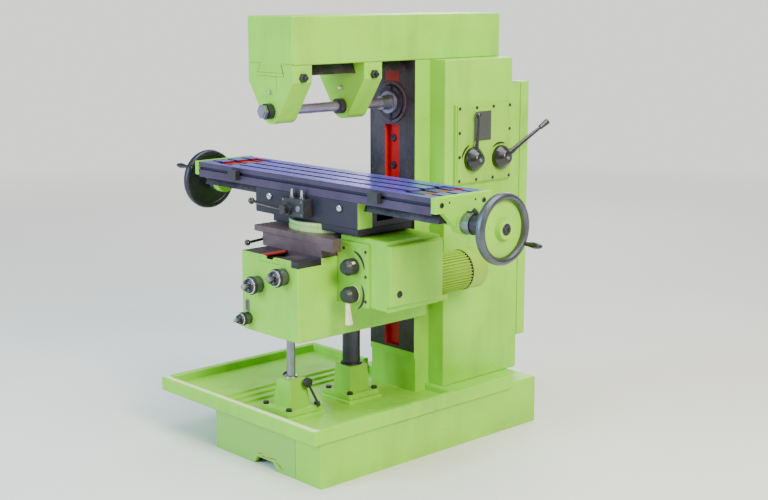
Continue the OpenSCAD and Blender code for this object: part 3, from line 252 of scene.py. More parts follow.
def relief(tree, shader, height, strength, depth, edge=0.0):
    """Fine relief from a height, over edges that are rounded by a radius in metres."""
    bump = tree.nodes.new("ShaderNodeBump")
    bump.inputs["Strength"].default_value = strength
    bump.inputs["Distance"].default_value = depth
    link(tree, height, bump, "Height")
    if edge > 0.0:
        rounding = tree.nodes.new("ShaderNodeBevel")
        rounding.samples = 4
        rounding.inputs["Radius"].default_value = edge
        link(tree, rounding.outputs["Normal"], bump, "Normal")
    link(tree, bump.outputs["Normal"], shader, "Normal")


def enamel(name, colour, gloss=0.34, grime=0.30, edge=0.0, soil=(0.10, 0.10, 0.05)):
    """Sprayed machine paint: cloudy tone, runs of grime, small chips and an orange-peel skin."""
    material, tree, shader, place = new_finish(name)
    cloud = speckle(tree, place, 3.4, 5.0)
    body = tones(tree, cloud, ((0.30, shade(colour, 0.86)), (0.52, colour), (0.72, shade(colour, 1.10))))
    runs = speckle(tree, place, 8.0, 7.0, (1.0, 1.0, 0.25))
    body = layered(tree, level(tree, runs, 0.0, grime, 0.50, 0.80), body, soil)
    flecks = speckle(tree, place, 70.0, 2.0, shift=(3.1, 1.7, 0.4))
    body = layered(tree, level(tree, flecks, 0.0, 0.8, 0.745, 0.765), body, shade(soil, 1.6))
    link(tree, body, shader, "Base Color")
    link(tree, level(tree, runs, gloss - 0.05, gloss + 0.20, 0.3, 0.8), shader, "Roughness")
    shader.inputs["Specular IOR Level"].default_value = 0.26
    shader.inputs["Coat Weight"].default_value = 0.05
    shader.inputs["Coat Roughness"].default_value = 0.22
    skin = speckle(tree, place, 210.0, 2.0)
    relief(tree, shader, skin, 0.10, 0.0006, edge)
    return material


def machined(name, colour, metal=0.75, rough=0.34, lay=(1.0, 1.0, 1.0), grain=260.0, edge=0.0008, stain=0.35,
             stain_colour=(0.05, 0.035, 0.03)):
    """Cut or ground metal: tool lay along one direction, oily stains and soft edges."""
    material, tree, shader, place = new_finish(name)
    cloud = speckle(tree, place, 11.0, 5.0)
    body = tones(tree, cloud, ((0.28, shade(colour, 0.76)), (0.50, colour), (0.75, shade(colour, 1.22))))
    marks = speckle(tree, place, 26.0, 6.0, shift=(0.7, 2.3, 1.1))
    body = layered(tree, level(tree, marks, 0.0, stain, 0.52, 0.76), body, stain_colour)
    link(tree, body, shader, "Base Color")
    lines = speckle(tree, place, grain, 2.0, lay)
    wear = reckon(tree, "ADD", lines, marks)
    link(tree, level(tree, wear, rough - 0.10, rough + 0.16, 0.6, 1.4), shader, "Roughness")
    shader.inputs["Metallic"].default_value = metal
    relief(tree, shader, lines, 0.16, 0.0004, edge)
    return material


def moulded(name, colour, rough=0.22, edge=0.0006, coat=0.4):
    """Polished black plastic or enamel on small parts: finger marks, dust and a light skin."""
    material, tree, shader, place = new_finish(name)
    smear = speckle(tree, place, 34.0, 4.0)
    body = tones(tree, smear, ((0.35, shade(colour, 0.8)), (0.60, colour), (0.82, shade(colour, 1.9))))
    link(tree, body, shader, "Base Color")
    link(tree, level(tree, smear, rough - 0.06, rough + 0.22, 0.3, 0.8), shader, "Roughness")
    shader.inputs["Coat Weight"].default_value = coat
    shader.inputs["Coat Roughness"].default_value = 0.12
    relief(tree, shader, speckle(tree, place, 320.0, 2.0), 0.08, 0.0004, edge)
    return material


def parted(tree, place, axis, limit, low, high):
    """One colour below a place along an axis of the object, another beyond it."""
    split = tree.nodes.new("ShaderNodeSeparateXYZ")
    link(tree, place, split, "Vector")
    beyond = level(tree, split.outputs[axis], 0.0, 1.0, limit - 0.0006, limit + 0.0006)
    return layered(tree, beyond, low, high)


def part_finish(material, axis, limit, below, beyond=None):
    """Gives a finish another colour below or beyond a place along an axis."""
    tree = material.node_tree
    shader = tree.nodes["Principled BSDF"]
    place = tree.nodes.new("ShaderNodeTexCoord").outputs["Object"]
    old = shader.inputs["Base Color"].links[0].from_socket
    colours = (below or old, beyond or old)
    link(tree, parted(tree, place, axis, limit, *colours), shader, "Base Color")
    return material


def banded(material, axis, inner, outer, colour):
    """Gives a finish another colour between two distances from the middle of an axis."""
    tree = material.node_tree
    shader = tree.nodes["Principled BSDF"]
    split = tree.nodes.new("ShaderNodeSeparateXYZ")
    link(tree, tree.nodes.new("ShaderNodeTexCoord").outputs["Object"], split, "Vector")
    away = reckon(tree, "ABSOLUTE", split.outputs[axis], 0.0)
    inside = reckon(tree, "MULTIPLY", reckon(tree, "GREATER_THAN", away, inner),
                    reckon(tree, "LESS_THAN", away, outer))
    old = shader.inputs["Base Color"].links[0].from_socket
    link(tree, layered(tree, inside, old, colour), shader, "Base Color")
    return material


def way_finish():
    """Dark scraped slideway, brown with oil, with a red-brown patch above the spindle."""
    material, tree, shader, place = new_finish("scraped_ways")
    scrape = speckle(tree, place, 120.0, 3.0, (1.0, 1.0, 0.35))
    cloud = speckle(tree, place, 7.0, 6.0, (1.0, 1.0, 0.5))
    body = tones(tree, cloud, ((0.30, tint(36, 34, 38)), (0.52, tint(62, 58, 64)), (0.74, tint(92, 84, 90))))
    body = layered(tree, level(tree, scrape, 0.0, 0.45, 0.55, 0.75), body, tint(104, 98, 102))
    split = tree.nodes.new("ShaderNodeSeparateXYZ")
    link(tree, place, split, "Vector")
    above = level(tree, split.outputs["Z"], 0.0, 1.0, 1.3645, 1.3655)
    below = level(tree, split.outputs["Z"], 1.0, 0.0, 1.410, 1.412)
    inward = level(tree, reckon(tree, "ABSOLUTE", split.outputs["X"], 0.0), 1.0, 0.0, 0.036, 0.038)
    patch = reckon(tree, "MULTIPLY", reckon(tree, "MULTIPLY", above, below), inward)
    body = layered(tree, patch, body, tint(150, 70, 56))
    low_paint = level(tree, split.outputs["Z"], 1.0, 0.0, 0.318, 0.320)
    body = layered(tree, low_paint, body, GREEN)
    link(tree, body, shader, "Base Color")
    link(tree, level(tree, scrape, 0.30, 0.52, 0.35, 0.7), shader, "Roughness")
    shader.inputs["Metallic"].default_value = 0.45
    relief(tree, shader, scrape, 0.25, 0.0005, 0.0)
    return material


GREEN = tint(164, 207, 97)
PLATE_GREEN = tint(158, 195, 94)
FEED_PLATE_GREEN = tint(152, 191, 96)
RED = tint(204, 58, 56)
KNEE_RED = tint(138, 70, 78)
POCKET_RED = tint(160, 48, 42)
# How the tool marks run on a machined face
EVEN = (1.0, 1.0, 1.0)
LENGTHWISE = (0.05, 1.0, 1.0)

green_enamel = enamel("green_enamel", GREEN)
# The base's front left of x 216 is painted a duller, cooler green: painted shade on the same green paint
base_front_shade = part_finish(enamel("base_front_shade", GREEN), "X", 0.2162, tint(154, 190, 112))
# The front rim's top, in front of Y -577.5, is painted a pale cream on the same green paint: a painted
# highlight
rim_painted_highlight = part_finish(enamel("rim_painted_highlight", GREEN), "Y", -0.5775, tint(226, 240, 198))
plate_enamel = enamel("plate_enamel", PLATE_GREEN, 0.38, 0.35, 0.0008)
feed_plate_enamel = enamel("feed_plate_enamel", FEED_PLATE_GREEN, 0.36, 0.25, 0.0008)
motor_enamel = enamel("motor_enamel", tint(156, 184, 86), 0.40, 0.35, 0.0008)
red_enamel = enamel("red_enamel", RED, 0.36, 0.35, 0.0, (0.10, 0.02, 0.02))
knee_red_enamel = enamel("knee_red_enamel", KNEE_RED, 0.40, 0.40, 0.0, (0.08, 0.03, 0.02))
# A dark copy of the machine green: painted shade for the front-facing faces inside the knee's trough
trough_shade_green = enamel("trough_shade_green", tint(58, 70, 34), 0.50, 0.40)
raw_iron = machined("raw_iron", tint(92, 90, 84), 0.2, 0.62, EVEN, 120.0, 0.0, 0.4)
scraped_ways = way_finish()
arbor_steel = machined("arbor_steel", tint(150, 146, 166), 0.75, 0.36, EVEN, 480.0, 0.0006, 0.25)
ring_iron = machined("ring_iron", tint(84, 72, 82), 0.45, 0.42, EVEN, 300.0, 0.0006, 0.35)
table_steel = machined("table_steel", tint(136, 130, 208), 0.55, 0.30, (0.03, 1.0, 1.0), 420.0, 0.0, 0.30,
                       (0.03, 0.025, 0.05))
table_side = machined("table_side", tint(80, 72, 90), 0.55, 0.36, LENGTHWISE, 320.0, 0.0, 0.35)
slot_shadow = machined("slot_shadow", tint(48, 42, 62), 0.4, 0.45, LENGTHWISE, 300.0, 0.0, 0.3)
# T-slot walls in near-black: painted shadow inside the slots; in the band near each end they take the
# pockets' real red paint
slot_wall_shade = banded(machined("slot_wall_shade", tint(48, 42, 62), 0.4, 0.45, LENGTHWISE, 300.0, 0.0, 0.3),
                   "X", 0.538, 0.590, POCKET_RED)
pocket_floor = banded(machined("pocket_floor", tint(104, 98, 140), 0.5, 0.36, LENGTHWISE, 300.0, 0.0, 0.3),
                      "X", 0.536, 0.590, POCKET_RED)
carriage_steel = machined("carriage_steel", tint(48, 46, 56), 0.40, 0.40, (0.06, 1.0, 1.0), 300.0, 0.0, 0.40)
# The carriage's ends: green enamel at the front; beyond Y -262 a dark grey that is a painted shadow under
# the table
carriage_end_painted_shadow = part_finish(enamel("carriage_end_painted_shadow", GREEN), "Y", -0.262, None, tint(58, 54, 62))
saddle_steel = machined("saddle_steel", tint(100, 88, 92), 0.45, 0.42, (1.0, 0.06, 1.0), 260.0, 0.0, 0.45)
bright_steel = machined("bright_steel", tint(206, 208, 212), 0.95, 0.20, EVEN, 480.0, 0.0006, 0.12,
                        (0.20, 0.19, 0.18))
satin_steel = machined("satin_steel", tint(140, 144, 148), 0.9, 0.32, EVEN, 420.0, 0.0006, 0.22)
grey_steel = machined("grey_steel", tint(98, 100, 106), 0.85, 0.34, EVEN, 420.0, 0.0006, 0.28)
dark_steel = machined("dark_steel", tint(70, 68, 76), 0.8, 0.36, EVEN, 360.0, 0.0006, 0.3)
black_gloss = moulded("black_gloss", tint(26, 26, 30))
black_satin = moulded("black_satin", tint(38, 38, 44), 0.42, 0.0008, 0.1)
window_black = moulded("window_black", tint(46, 50, 44), 0.16, 0.0006, 0.6)
pale_handle = moulded("pale_handle", tint(226, 222, 206), 0.30, 0.0006, 0.3)
belt_rubber = moulded("belt_rubber", tint(30, 29, 30), 0.62, 0.0006, 0.0)
nut_bronze = machined("nut_bronze", tint(176, 132, 72), 0.9, 0.32, EVEN, 300.0, 0.0006, 0.3)
ring_enamel = enamel("ring_enamel", tint(182, 202, 150), 0.30, 0.15, 0.0008)
mark_black = moulded("mark_black", tint(34, 34, 34), 0.5, 0.0, 0.0)
soil_brown = moulded("soil_brown", tint(96, 92, 52), 0.7, 0.0, 0.0)
rust_brown = moulded("rust_brown", tint(150, 84, 52), 0.8, 0.0, 0.0)


# Shaping in millimetres

class Piece:
    """A mesh in the making, in millimetres, whose faces remember their finish."""

    def __init__(self, name):
        self.name = name
        self.finishes = []
        self.shape = bmesh.new()

    def number(self, finish):
        if finish not in self.finishes:
            self.finishes.append(finish)
        return self.finishes.index(finish)

    def paint(self, faces, finish):
        index = self.number(finish)
        for face in faces:
            face.material_index = index
        return faces

    def turned(self, profile, at, along, finish, sides=40, hollow=False):
        """A solid of revolution: (radius, distance) pairs along an axis. A hollow one is a closed loop."""
        place = Matrix.Translation(at) @ Vector(along).to_track_quat("Z", "Y").to_matrix().to_4x4()
        rings = []
        for radius, distance in profile:
            count = 1 if radius < 0.01 else sides
            rings.append([self.shape.verts.new(place @ Vector((
                radius * math.cos(2 * math.pi * k / sides), radius * math.sin(2 * math.pi * k / sides),
                distance))) for k in range(count)])
        pairs = list(zip(rings, rings[1:]))
        if hollow:
            pairs.append((rings[-1], rings[0]))
        faces = []
        for low, high in pairs:
            for k in range(sides):
                corners = [low[k % len(low)], low[(k + 1) % sides % len(low)],
                           high[(k + 1) % sides % len(high)], high[k % len(high)]]
                corners = list(dict.fromkeys(corners))
                if len(corners) > 2:
                    faces.append(self.shape.faces.new(corners))
        if not hollow:
            for ring, end in ((rings[0], -1), (rings[-1], 1)):
                if len(ring) > 1:
                    faces.append(self.shape.faces.new(ring[::end]))
        return self.paint(faces, finish)

    def prism(self, outline, low, high, axis, finish, round_by=0.0):
        """An outline carried along X, Y or Z, with its edges broken by a small radius."""
        def point(a, b, c):
            return {"x": (c, a, b), "y": (a, c, b), "z": (a, b, c)}[axis]
        bottom = [self.shape.verts.new(point(a, b, low)) for a, b in outline]
        top = [self.shape.verts.new(point(a, b, high)) for a, b in outline]
        count = len(outline)
        faces = [self.shape.faces.new(bottom[::-1]), self.shape.faces.new(top)]
        for k in range(count):
            following = (k + 1) % count
            faces.append(self.shape.faces.new((bottom[k], bottom[following], top[following], top[k])))
        self.paint(faces, finish)
        if round_by > 0.0:
            edges = list(dict.fromkeys(edge for face in faces for edge in face.edges))
            made = bmesh.ops.bevel(self.shape, geom=edges, offset=round_by, offset_type="OFFSET", segments=2,
                                   profile=0.6, affect="EDGES", clamp_overlap=True, material=-1)
            self.paint(made["faces"], finish)

    def slab(self, low, high, finish, round_by=1.0):
        """A box with broken edges."""
        outline = [(low[0], low[1]), (high[0], low[1]), (high[0], high[1]), (low[0], high[1])]
        self.prism(outline, low[2], high[2], "z", finish, round_by)

    def tube(self, path, radii, finish, sides=18):
        """A round bar along a path, with a radius for each point and closed ends."""
        points = [Vector(point) for point in path]
        if isinstance(radii, (int, float)):
            radii = [radii] * len(points)
        rings = []
        side = None
        for index, point in enumerate(points):
            before = points[max(index - 1, 0)]
            after = points[min(index + 1, len(points) - 1)]
            ahead = (after - before).normalized()
            if side is None:
                side = ahead.orthogonal().normalized()
            side = (side - ahead * side.dot(ahead)).normalized()
            other = ahead.cross(side)
            rings.append([self.shape.verts.new(point + radii[index] * (
                math.cos(2 * math.pi * k / sides) * side + math.sin(2 * math.pi * k / sides) * other))
                for k in range(sides)])
        faces = [self.shape.faces.new(rings[0][::-1]), self.shape.faces.new(rings[-1])]
        for low, high in zip(rings, rings[1:]):
            for k in range(sides):
                following = (k + 1) % sides
                faces.append(self.shape.faces.new((low[k], low[following], high[following], high[k])))
        return self.paint(faces, finish)

    def crescent(self, at, axis, inner, outer, start, sweep, low, high, finish, steps=20):
        """A flat arc round an axis, pointed at both ends. Angles are in degrees, from the first axis on."""
        outline = []
        for k in range(steps + 1):
            angle = math.radians(start + sweep * k / steps)
            outline.append((at[0] + outer * math.cos(angle), at[1] + outer * math.sin(angle)))
        for k in range(steps - 1, 0, -1):
            angle = math.radians(start + sweep * k / steps)
            swell = math.sin(math.pi * k / steps) ** 0.5
            radius = outer - (outer - inner) * swell
            outline.append((at[0] + radius * math.cos(angle), at[1] + radius * math.sin(angle)))
        self.prism(outline, low, high, axis, finish)

    def adopt(self, mesh, place, finish):
        """Takes in a finished mesh, moved by a matrix."""
        before = len(self.shape.faces)
        mesh.transform(place)
        self.shape.from_mesh(mesh)
        self.shape.faces.ensure_lookup_table()
        self.paint(self.shape.faces[before:], finish)
        bpy.data.meshes.remove(mesh)

    def done(self, body, slot, *stands_for, crease=32.0, turn_out=True):
        """The finished object, in metres, on its body."""
        if turn_out:
            bmesh.ops.recalc_face_normals(self.shape, faces=self.shape.faces)
        for face in self.shape.faces:
            face.smooth = True
        limit = math.radians(crease)
        for edge in self.shape.edges:
            edge.smooth = edge.is_manifold and edge.calc_face_angle(math.pi) < limit
        bmesh.ops.scale(self.shape, vec=(MM, MM, MM), verts=self.shape.verts)
        mesh = bpy.data.meshes.new(self.name)
        self.shape.to_mesh(mesh)
        self.shape.free()
        for finish in self.finishes:
            mesh.materials.append(finish)
        obj = bpy.data.objects.new(self.name, mesh)
        scene.collection.objects.link(obj)
        weigh_normals(obj)
        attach(obj, body)
        if stands_for:
            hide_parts(*stands_for)
        return obj


def baked_mesh(obj):
    """The object's mesh with its modifiers worked in, after which it has none."""
    graph = bpy.context.evaluated_depsgraph_get()
    mesh = bpy.data.meshes.new_from_object(obj.evaluated_get(graph))
    obj.modifiers.clear()
    return mesh


def weigh_normals(obj):
    """Large flat faces keep their own shade beside rounded edges."""
    weigh = obj.modifiers.new("weigh", "WEIGHTED_NORMAL")
    weigh.mode = "FACE_AREA"
    weigh.weight = 100
    weigh.keep_sharp = True
    old = obj.data
    name = old.name
    obj.data = baked_mesh(obj)
    bpy.data.meshes.remove(old)
    obj.data.name = name


def welded(node):
    """A copy of a node's solid in millimetres, its triangles joined into flat faces again."""
    shape = bmesh.new()
    shape.from_mesh(nodes[node].data)
    for face in shape.faces:
        face.material_index = 0
    bmesh.ops.scale(shape, vec=(1 / MM, 1 / MM, 1 / MM), verts=shape.verts)
    bmesh.ops.remove_doubles(shape, verts=shape.verts, dist=0.005)
    bmesh.ops.dissolve_limit(shape, angle_limit=math.radians(0.8), verts=shape.verts, edges=shape.edges,
                             delimit=set())
    return shape


def soften(shape, width, shortest, wanted):
    """Rounds the long outward edges between flat faces."""
    def fit(edge):
        if not edge.is_manifold or not edge.is_convex or edge.calc_length() < shortest:
            return False
        if edge.calc_face_angle() < math.radians(40):
            return False
        if min(face.calc_area() for face in edge.link_faces) < shortest * width * 1.5:
            return False
        return wanted is None or wanted(*[vert.co for vert in edge.verts])
    edges = [edge for edge in shape.edges if fit(edge)]
    bmesh.ops.bevel(shape, geom=edges, offset=width, offset_type="OFFSET", segments=3, profile=0.5,
                    affect="EDGES", clamp_overlap=False, miter_outer="SHARP", material=-1)


def casting(node, width, shortest, rule, body, slot, wanted=None):
    """A node's solid with rounded edges and a finish for each face, in the node's place."""
    piece = Piece(node + "_finished")
    piece.shape.free()
    piece.shape = welded(node)
    if width > 0.0:
        soften(piece.shape, width, shortest, wanted)
    for face in piece.shape.faces:
        face.material_index = piece.number(rule(face.calc_center_median(), face.normal))
    return piece.done(body, slot, node, turn_out=False)


# Repeated shapes from geometry trees

def tree_with(name, *sockets):
    """A geometry tree with named inputs, its group nodes and the identifier of each input."""
    tree = bpy.data.node_groups.new(name, "GeometryNodeTree")
    names = {}
    for label, kind in sockets:
        names[label] = tree.interface.new_socket(name=label, in_out="INPUT", socket_type=kind).identifier
    tree.interface.new_socket(name="Geometry", in_out="OUTPUT", socket_type="NodeSocketGeometry")
    given = tree.nodes.new("NodeGroupInput")
    result = tree.nodes.new("NodeGroupOutput")
    return tree, given, result, names


def bars_tree():
    """Bars round an axis: marks on a dial, knurls, fins, clutch teeth. Every so many of them is longer."""
    tree, given, result, names = tree_with(
        "bars_round_an_axis", ("Bars", "NodeSocketInt"), ("Radius", "NodeSocketFloat"),
        ("Height", "NodeSocketFloat"), ("Width", "NodeSocketFloat"), ("Length", "NodeSocketFloat"),
        ("Long Every", "NodeSocketInt"), ("Long Factor", "NodeSocketFloat"), ("Sweep", "NodeSocketFloat"),
        ("Finish", "NodeSocketMaterial"))
    line = tree.nodes.new("GeometryNodeMeshLine")
    link(tree, given.outputs["Bars"], line, "Count")
    line.inputs["Offset"].default_value = (0.0, 0.0, 0.0)
    size = tree.nodes.new("ShaderNodeCombineXYZ")
    for label, socket in (("Height", "X"), ("Width", "Y"), ("Length", "Z")):
        link(tree, given.outputs[label], size, socket)
    bar = tree.nodes.new("GeometryNodeMeshCube")
    link(tree, size.outputs["Vector"], bar, "Size")
    out = tree.nodes.new("ShaderNodeCombineXYZ")
    link(tree, given.outputs["Radius"], out, "X")
    link(tree, reckon(tree, "MULTIPLY", given.outputs["Length"], 0.5), out, "Z")
    moved = tree.nodes.new("GeometryNodeTransform")
    link(tree, bar.outputs["Mesh"], moved, "Geometry")
    link(tree, out.outputs["Vector"], moved, "Translation")
    index = tree.nodes.new("GeometryNodeInputIndex").outputs["Index"]
    share = reckon(tree, "DIVIDE", index, given.outputs["Bars"])
    turn = tree.nodes.new("ShaderNodeCombineXYZ")
    link(tree, reckon(tree, "MULTIPLY", share, given.outputs["Sweep"]), turn, "Z")
    euler = tree.nodes.new("FunctionNodeEulerToRotation")
    link(tree, turn.outputs["Vector"], euler, "Euler")
    rest = reckon(tree, "MODULO", index, given.outputs["Long Every"])
    is_long = reckon(tree, "LESS_THAN", rest, 0.5)
    extra = reckon(tree, "MULTIPLY", is_long, reckon(tree, "SUBTRACT", given.outputs["Long Factor"], 1.0))
    grow = tree.nodes.new("ShaderNodeCombineXYZ")
    grow.inputs["X"].default_value = 1.0
    grow.inputs["Y"].default_value = 1.0
    link(tree, reckon(tree, "ADD", extra, 1.0), grow, "Z")
    copies = tree.nodes.new("GeometryNodeInstanceOnPoints")
    link(tree, line.outputs["Mesh"], copies, "Points")
    link(tree, moved.outputs["Geometry"], copies, "Instance")
    link(tree, euler.outputs["Rotation"], copies, "Rotation")
    link(tree, grow.outputs["Vector"], copies, "Scale")
    finish_tree(tree, copies.outputs["Instances"], given, result)
    return tree, names


def finish_tree(tree, instances, given, result):
    real = tree.nodes.new("GeometryNodeRealizeInstances")
    link(tree, instances, real, "Geometry")
    finish = tree.nodes.new("GeometryNodeSetMaterial")
    link(tree, real.outputs["Geometry"], finish, "Geometry")
    link(tree, given.outputs["Finish"], finish, "Material")
    link(tree, finish.outputs["Geometry"], result, "Geometry")


def screws_tree():
    """A chamfered screw head with a socket on each point, turned as the point says."""
    tree, given, result, names = tree_with(
        "screw_heads", ("Places", "NodeSocketGeometry"), ("Head Radius", "NodeSocketFloat"),
        ("Head Height", "NodeSocketFloat"), ("Sides", "NodeSocketInt"), ("Finish", "NodeSocketMaterial"))
    head = tree.nodes.new("GeometryNodeMeshCylinder")
    link(tree, given.outputs["Sides"], head, "Vertices")
    link(tree, given.outputs["Head Radius"], head, "Radius")
    link(tree, reckon(tree, "MULTIPLY", given.outputs["Head Height"], 0.7), head, "Depth")
    mesh, chosen = head.outputs["Mesh"], head.outputs["Top"]
    steps = ((0.3, 0.86), (0.0, 0.62), (-0.6, 0.98))
    for rise, scale in steps:
        push = tree.nodes.new("GeometryNodeExtrudeMesh")
        push.mode = "FACES"
        link(tree, mesh, push, "Mesh")
        link(tree, chosen, push, "Selection")
        link(tree, reckon(tree, "MULTIPLY", given.outputs["Head Height"], rise), push, "Offset Scale")
        narrow = tree.nodes.new("GeometryNodeScaleElements")
        link(tree, push.outputs["Mesh"], narrow, "Geometry")
        link(tree, push.outputs["Top"], narrow, "Selection")
        narrow.inputs["Scale"].default_value = scale
        mesh, chosen = narrow.outputs["Geometry"], push.outputs["Top"]
    points = tree.nodes.new("GeometryNodeMeshToPoints")
    link(tree, given.outputs["Places"], points, "Mesh")
    turn = tree.nodes.new("GeometryNodeInputNamedAttribute")
    turn.data_type = "FLOAT_VECTOR"
    turn.inputs["Name"].default_value = "turn"
    euler = tree.nodes.new("FunctionNodeEulerToRotation")
    link(tree, turn.outputs["Attribute"], euler, "Euler")
    copies = tree.nodes.new("GeometryNodeInstanceOnPoints")
    link(tree, points.outputs["Points"], copies, "Points")
    link(tree, mesh, copies, "Instance")
    link(tree, euler.outputs["Rotation"], copies, "Rotation")
    finish_tree(tree, copies.outputs["Instances"], given, result)
    return tree, names


bars = bars_tree()
screw_heads = screws_tree()


def grown(tree_and_names, mesh, values):
    """What a geometry tree makes of a mesh, as a plain mesh in millimetres."""
    tree, names = tree_and_names
    holder = bpy.data.objects.new("grown", mesh)
    scene.collection.objects.link(holder)
    modifier = holder.modifiers.new("tree", "NODES")
    modifier.node_group = tree
    for label, value in values.items():
        modifier[names[label]] = value
    result = baked_mesh(holder)
    bpy.data.objects.remove(holder)
    return result


def ring_of_bars(piece, at, along, finish, count, radius, height, width, length, every=1, factor=1.0):
    """Adds bars round an axis to a piece."""
    mesh = grown(bars, bpy.data.meshes.new("empty"), {
        "Bars": count, "Radius": float(radius), "Height": float(height), "Width": float(width),
        "Length": float(length), "Long Every": every, "Long Factor": float(factor),
        "Sweep": math.radians(360.0), "Finish": finish})
    place = Matrix.Translation(at) @ Vector(along).to_track_quat("Z", "Y").to_matrix().to_4x4()
    piece.adopt(mesh, place, finish)


def screws(piece, places, along, radius, height, finish, sides=24):
    """Adds a screw head at each place, standing along a direction."""
    mesh = bpy.data.meshes.new("places")
    mesh.from_pydata([Vector(place) for place in places], [], [])
    turn = mesh.attributes.new("turn", "FLOAT_VECTOR", "POINT")
    euler = Vector(along).to_track_quat("Z", "Y").to_euler()
    for item in turn.data:
        item.vector = (euler.x, euler.y, euler.z)
    made = grown(screw_heads, mesh, {
        "Head Radius": float(radius), "Head Height": float(height), "Sides": sides, "Finish": finish})
    piece.adopt(made, Matrix.Identity(4), finish)


# The castings

def facing(normal, axis, sign):
    return normal[axis] * sign > 0.7


def all_over(finish):
    return lambda centre, normal: finish


def base_rule(centre, normal):
    hidden_below = centre.z < 150 and -545 < centre.y < 545 and -239 < centre.x < 334
    if centre.z < 1 or hidden_below:
        return raw_iron
    # Tops of the tray rim; the front part of them carries the painted highlight
    if centre.z > TRAY_RIM - 0.5 and facing(normal, 2, 1):
        return rim_painted_highlight
    # The base's front face, with painted shade left of x 216
    if facing(normal, 1, -1) and centre.y < -560 and centre.z < 172:
        return base_front_shade
    return green_enamel


def column_rule(centre, normal):
    if centre.y < 187 and abs(centre.x) <= 53 and 329 < centre.z < WAY_TOP and centre.y > 108.5:
        return red_enamel
    if centre.y < 112 and centre.z > 296 and abs(centre.x) < 124 and facing(normal, 1, -1):
        return scraped_ways
    inside = abs(centre.x) < 189 and 200 < centre.y < 594 and 209 < centre.z < 1400
    if inside:
        return raw_iron
    if centre.z > 1407 and abs(centre.x) < 76 and centre.y < 559:
        return scraped_ways
    return green_enamel


def overarm_rule(centre, normal):
    if centre.z < 1448.6 and abs(centre.x) < 76:
        return scraped_ways
    return green_enamel


def knee_rule(centre, normal):
    # Inside the knee's trough: front-facing faces get painted shade in dark green, the rest red paint
    if KNEE_TOP - 28 < centre.z < KNEE_TOP - 0.1 and abs(centre.x) < 58:
        return trough_shade_green if facing(normal, 1, -1) else knee_red_enamel
    if centre.z > KNEE_TOP - 1 and facing(normal, 2, 1):
        return scraped_ways
    if centre.y > 107.5 and abs(centre.x) < 164:
        return scraped_ways
    if centre.z < 721 and abs(centre.x) < 142 and -479 < centre.y < 87 and centre.z > 470:
        return raw_iron
    return green_enamel


def carriage_rule(centre, normal):
    # Carriage ends: green paint at the front, painted shadow further back
    if abs(centre.x) > 289 and centre.z > 860 and abs(normal.x) > 0.7:
        return carriage_end_painted_shadow
    if centre.z > 975 or abs(centre.y - SCREW_Y) < 104 and centre.z > 899:
        return scraped_ways
    return carriage_steel


def table_rule(centre, normal):
    if centre.z > TABLE_TOP - 0.5 and facing(normal, 2, 1):
        return table_steel
    if TABLE_TOP - 7 < centre.z < TABLE_TOP and 479 < abs(centre.x) < 586:
        return pocket_floor
    # Inside the T-slots: painted shadow, red paint in the end band
    if centre.z > 1001 and -290 < centre.y < -109:
        return slot_wall_shade
    if centre.y < -322.5 and abs(centre.z - 1009) < 6.5:
        return slot_shadow
    if centre.z < 975:
        return scraped_ways
    return table_side


def dress_castings():
    casting("base_casting", 7.0, 120.0, base_rule, "frame", "green_paint",
            lambda a, b: min(a.z, b.z) > 100 or abs(a.z - b.z) > 100)
    casting("column_casting", 6.0, 90.0, column_rule, "frame", "green_paint",
            lambda a, b: max(abs(a.x), abs(b.x)) > 200 and max(a.z, b.z) > 180)
    casting("rear_door", 5.0, 120.0, all_over(green_enamel), "door", "green_paint",
            lambda a, b: min(a.y, b.y) > 640 or (abs(a.x) > 206 and abs(b.x) > 206 and abs(a.z - b.z) < 1))
    casting("overarm", 5.0, 100.0, overarm_rule, "overarm", "green_paint",
            lambda a, b: max(abs(a.x), abs(b.x)) > 120 and max(a.z, b.z) > 1440)
    for node, body in (("outer_support", "outer_support"), ("inner_support", "inner_support")):
        casting(node, 3.0, 40.0, all_over(green_enamel), body, "green_paint",
                lambda a, b: min(a.z, b.z) < 1447 and max(abs(a.x), abs(b.x)) > 60)
    casting("knee_casting", 6.0, 120.0, knee_rule, "knee", "green_paint",
            lambda a, b: (min(a.y, b.y) < KNEE_FRONT + 1
                          or (abs(a.x) > 160 and abs(b.x) > 160 and max(a.y, b.y) < 109)))
    casting("feed_box", 8.0, 120.0, all_over(green_enamel), "knee", "green_paint",
            lambda a, b: min(a.x, b.x) > 162.5 and not (max(a.x, b.x) < 409 and min(a.x, b.x) > 407))
    casting("feed_plate", 3.0, 100.0, all_over(feed_plate_enamel), "knee", "green_paint",
            lambda a, b: min(a.y, b.y) < FEED_FACE + 1)
    casting("speed_plate", 2.0, 150.0, all_over(plate_enamel), "frame", "green_paint",
            lambda a, b: max(a.x, b.x) > PLATE_FACE - 7)
    casting("front_pedestal", 2.5, 40.0, all_over(green_enamel), "frame", "green_paint")
    casting("rear_pedestal", 2.5, 60.0, all_over(green_enamel), "frame", "green_paint")
    casting("saddle", 3.0, 80.0, all_over(saddle_steel), "saddle", "machined_iron",
            lambda a, b: max(a.z, b.z) > 800 and max(abs(a.x), abs(b.x)) > 100)
    casting("carriage", 3.5, 80.0, carriage_rule, "carriage", "machined_iron",
            lambda a, b: max(a.y, b.y) < -329 or (abs(a.x) > 288 and abs(b.x) > 288 and max(a.z, b.z) < 960))
    casting("table", 1.6, 200.0, table_rule, "table", "machined_iron",
            lambda a, b: min(a.z, b.z) > TABLE_TOP - 3 and (max(a.y, b.y) < -330 or min(a.y, b.y) > -69))
    casting("end_brackets", 3.0, 50.0, all_over(green_enamel), "table", "green_paint",
            lambda a, b: min(abs(a.x), abs(b.x)) > 678)
    casting("control_block", 2.0, 40.0, all_over(black_satin), "carriage", "black_steel",
            lambda a, b: min(a.y, b.y) < -373)


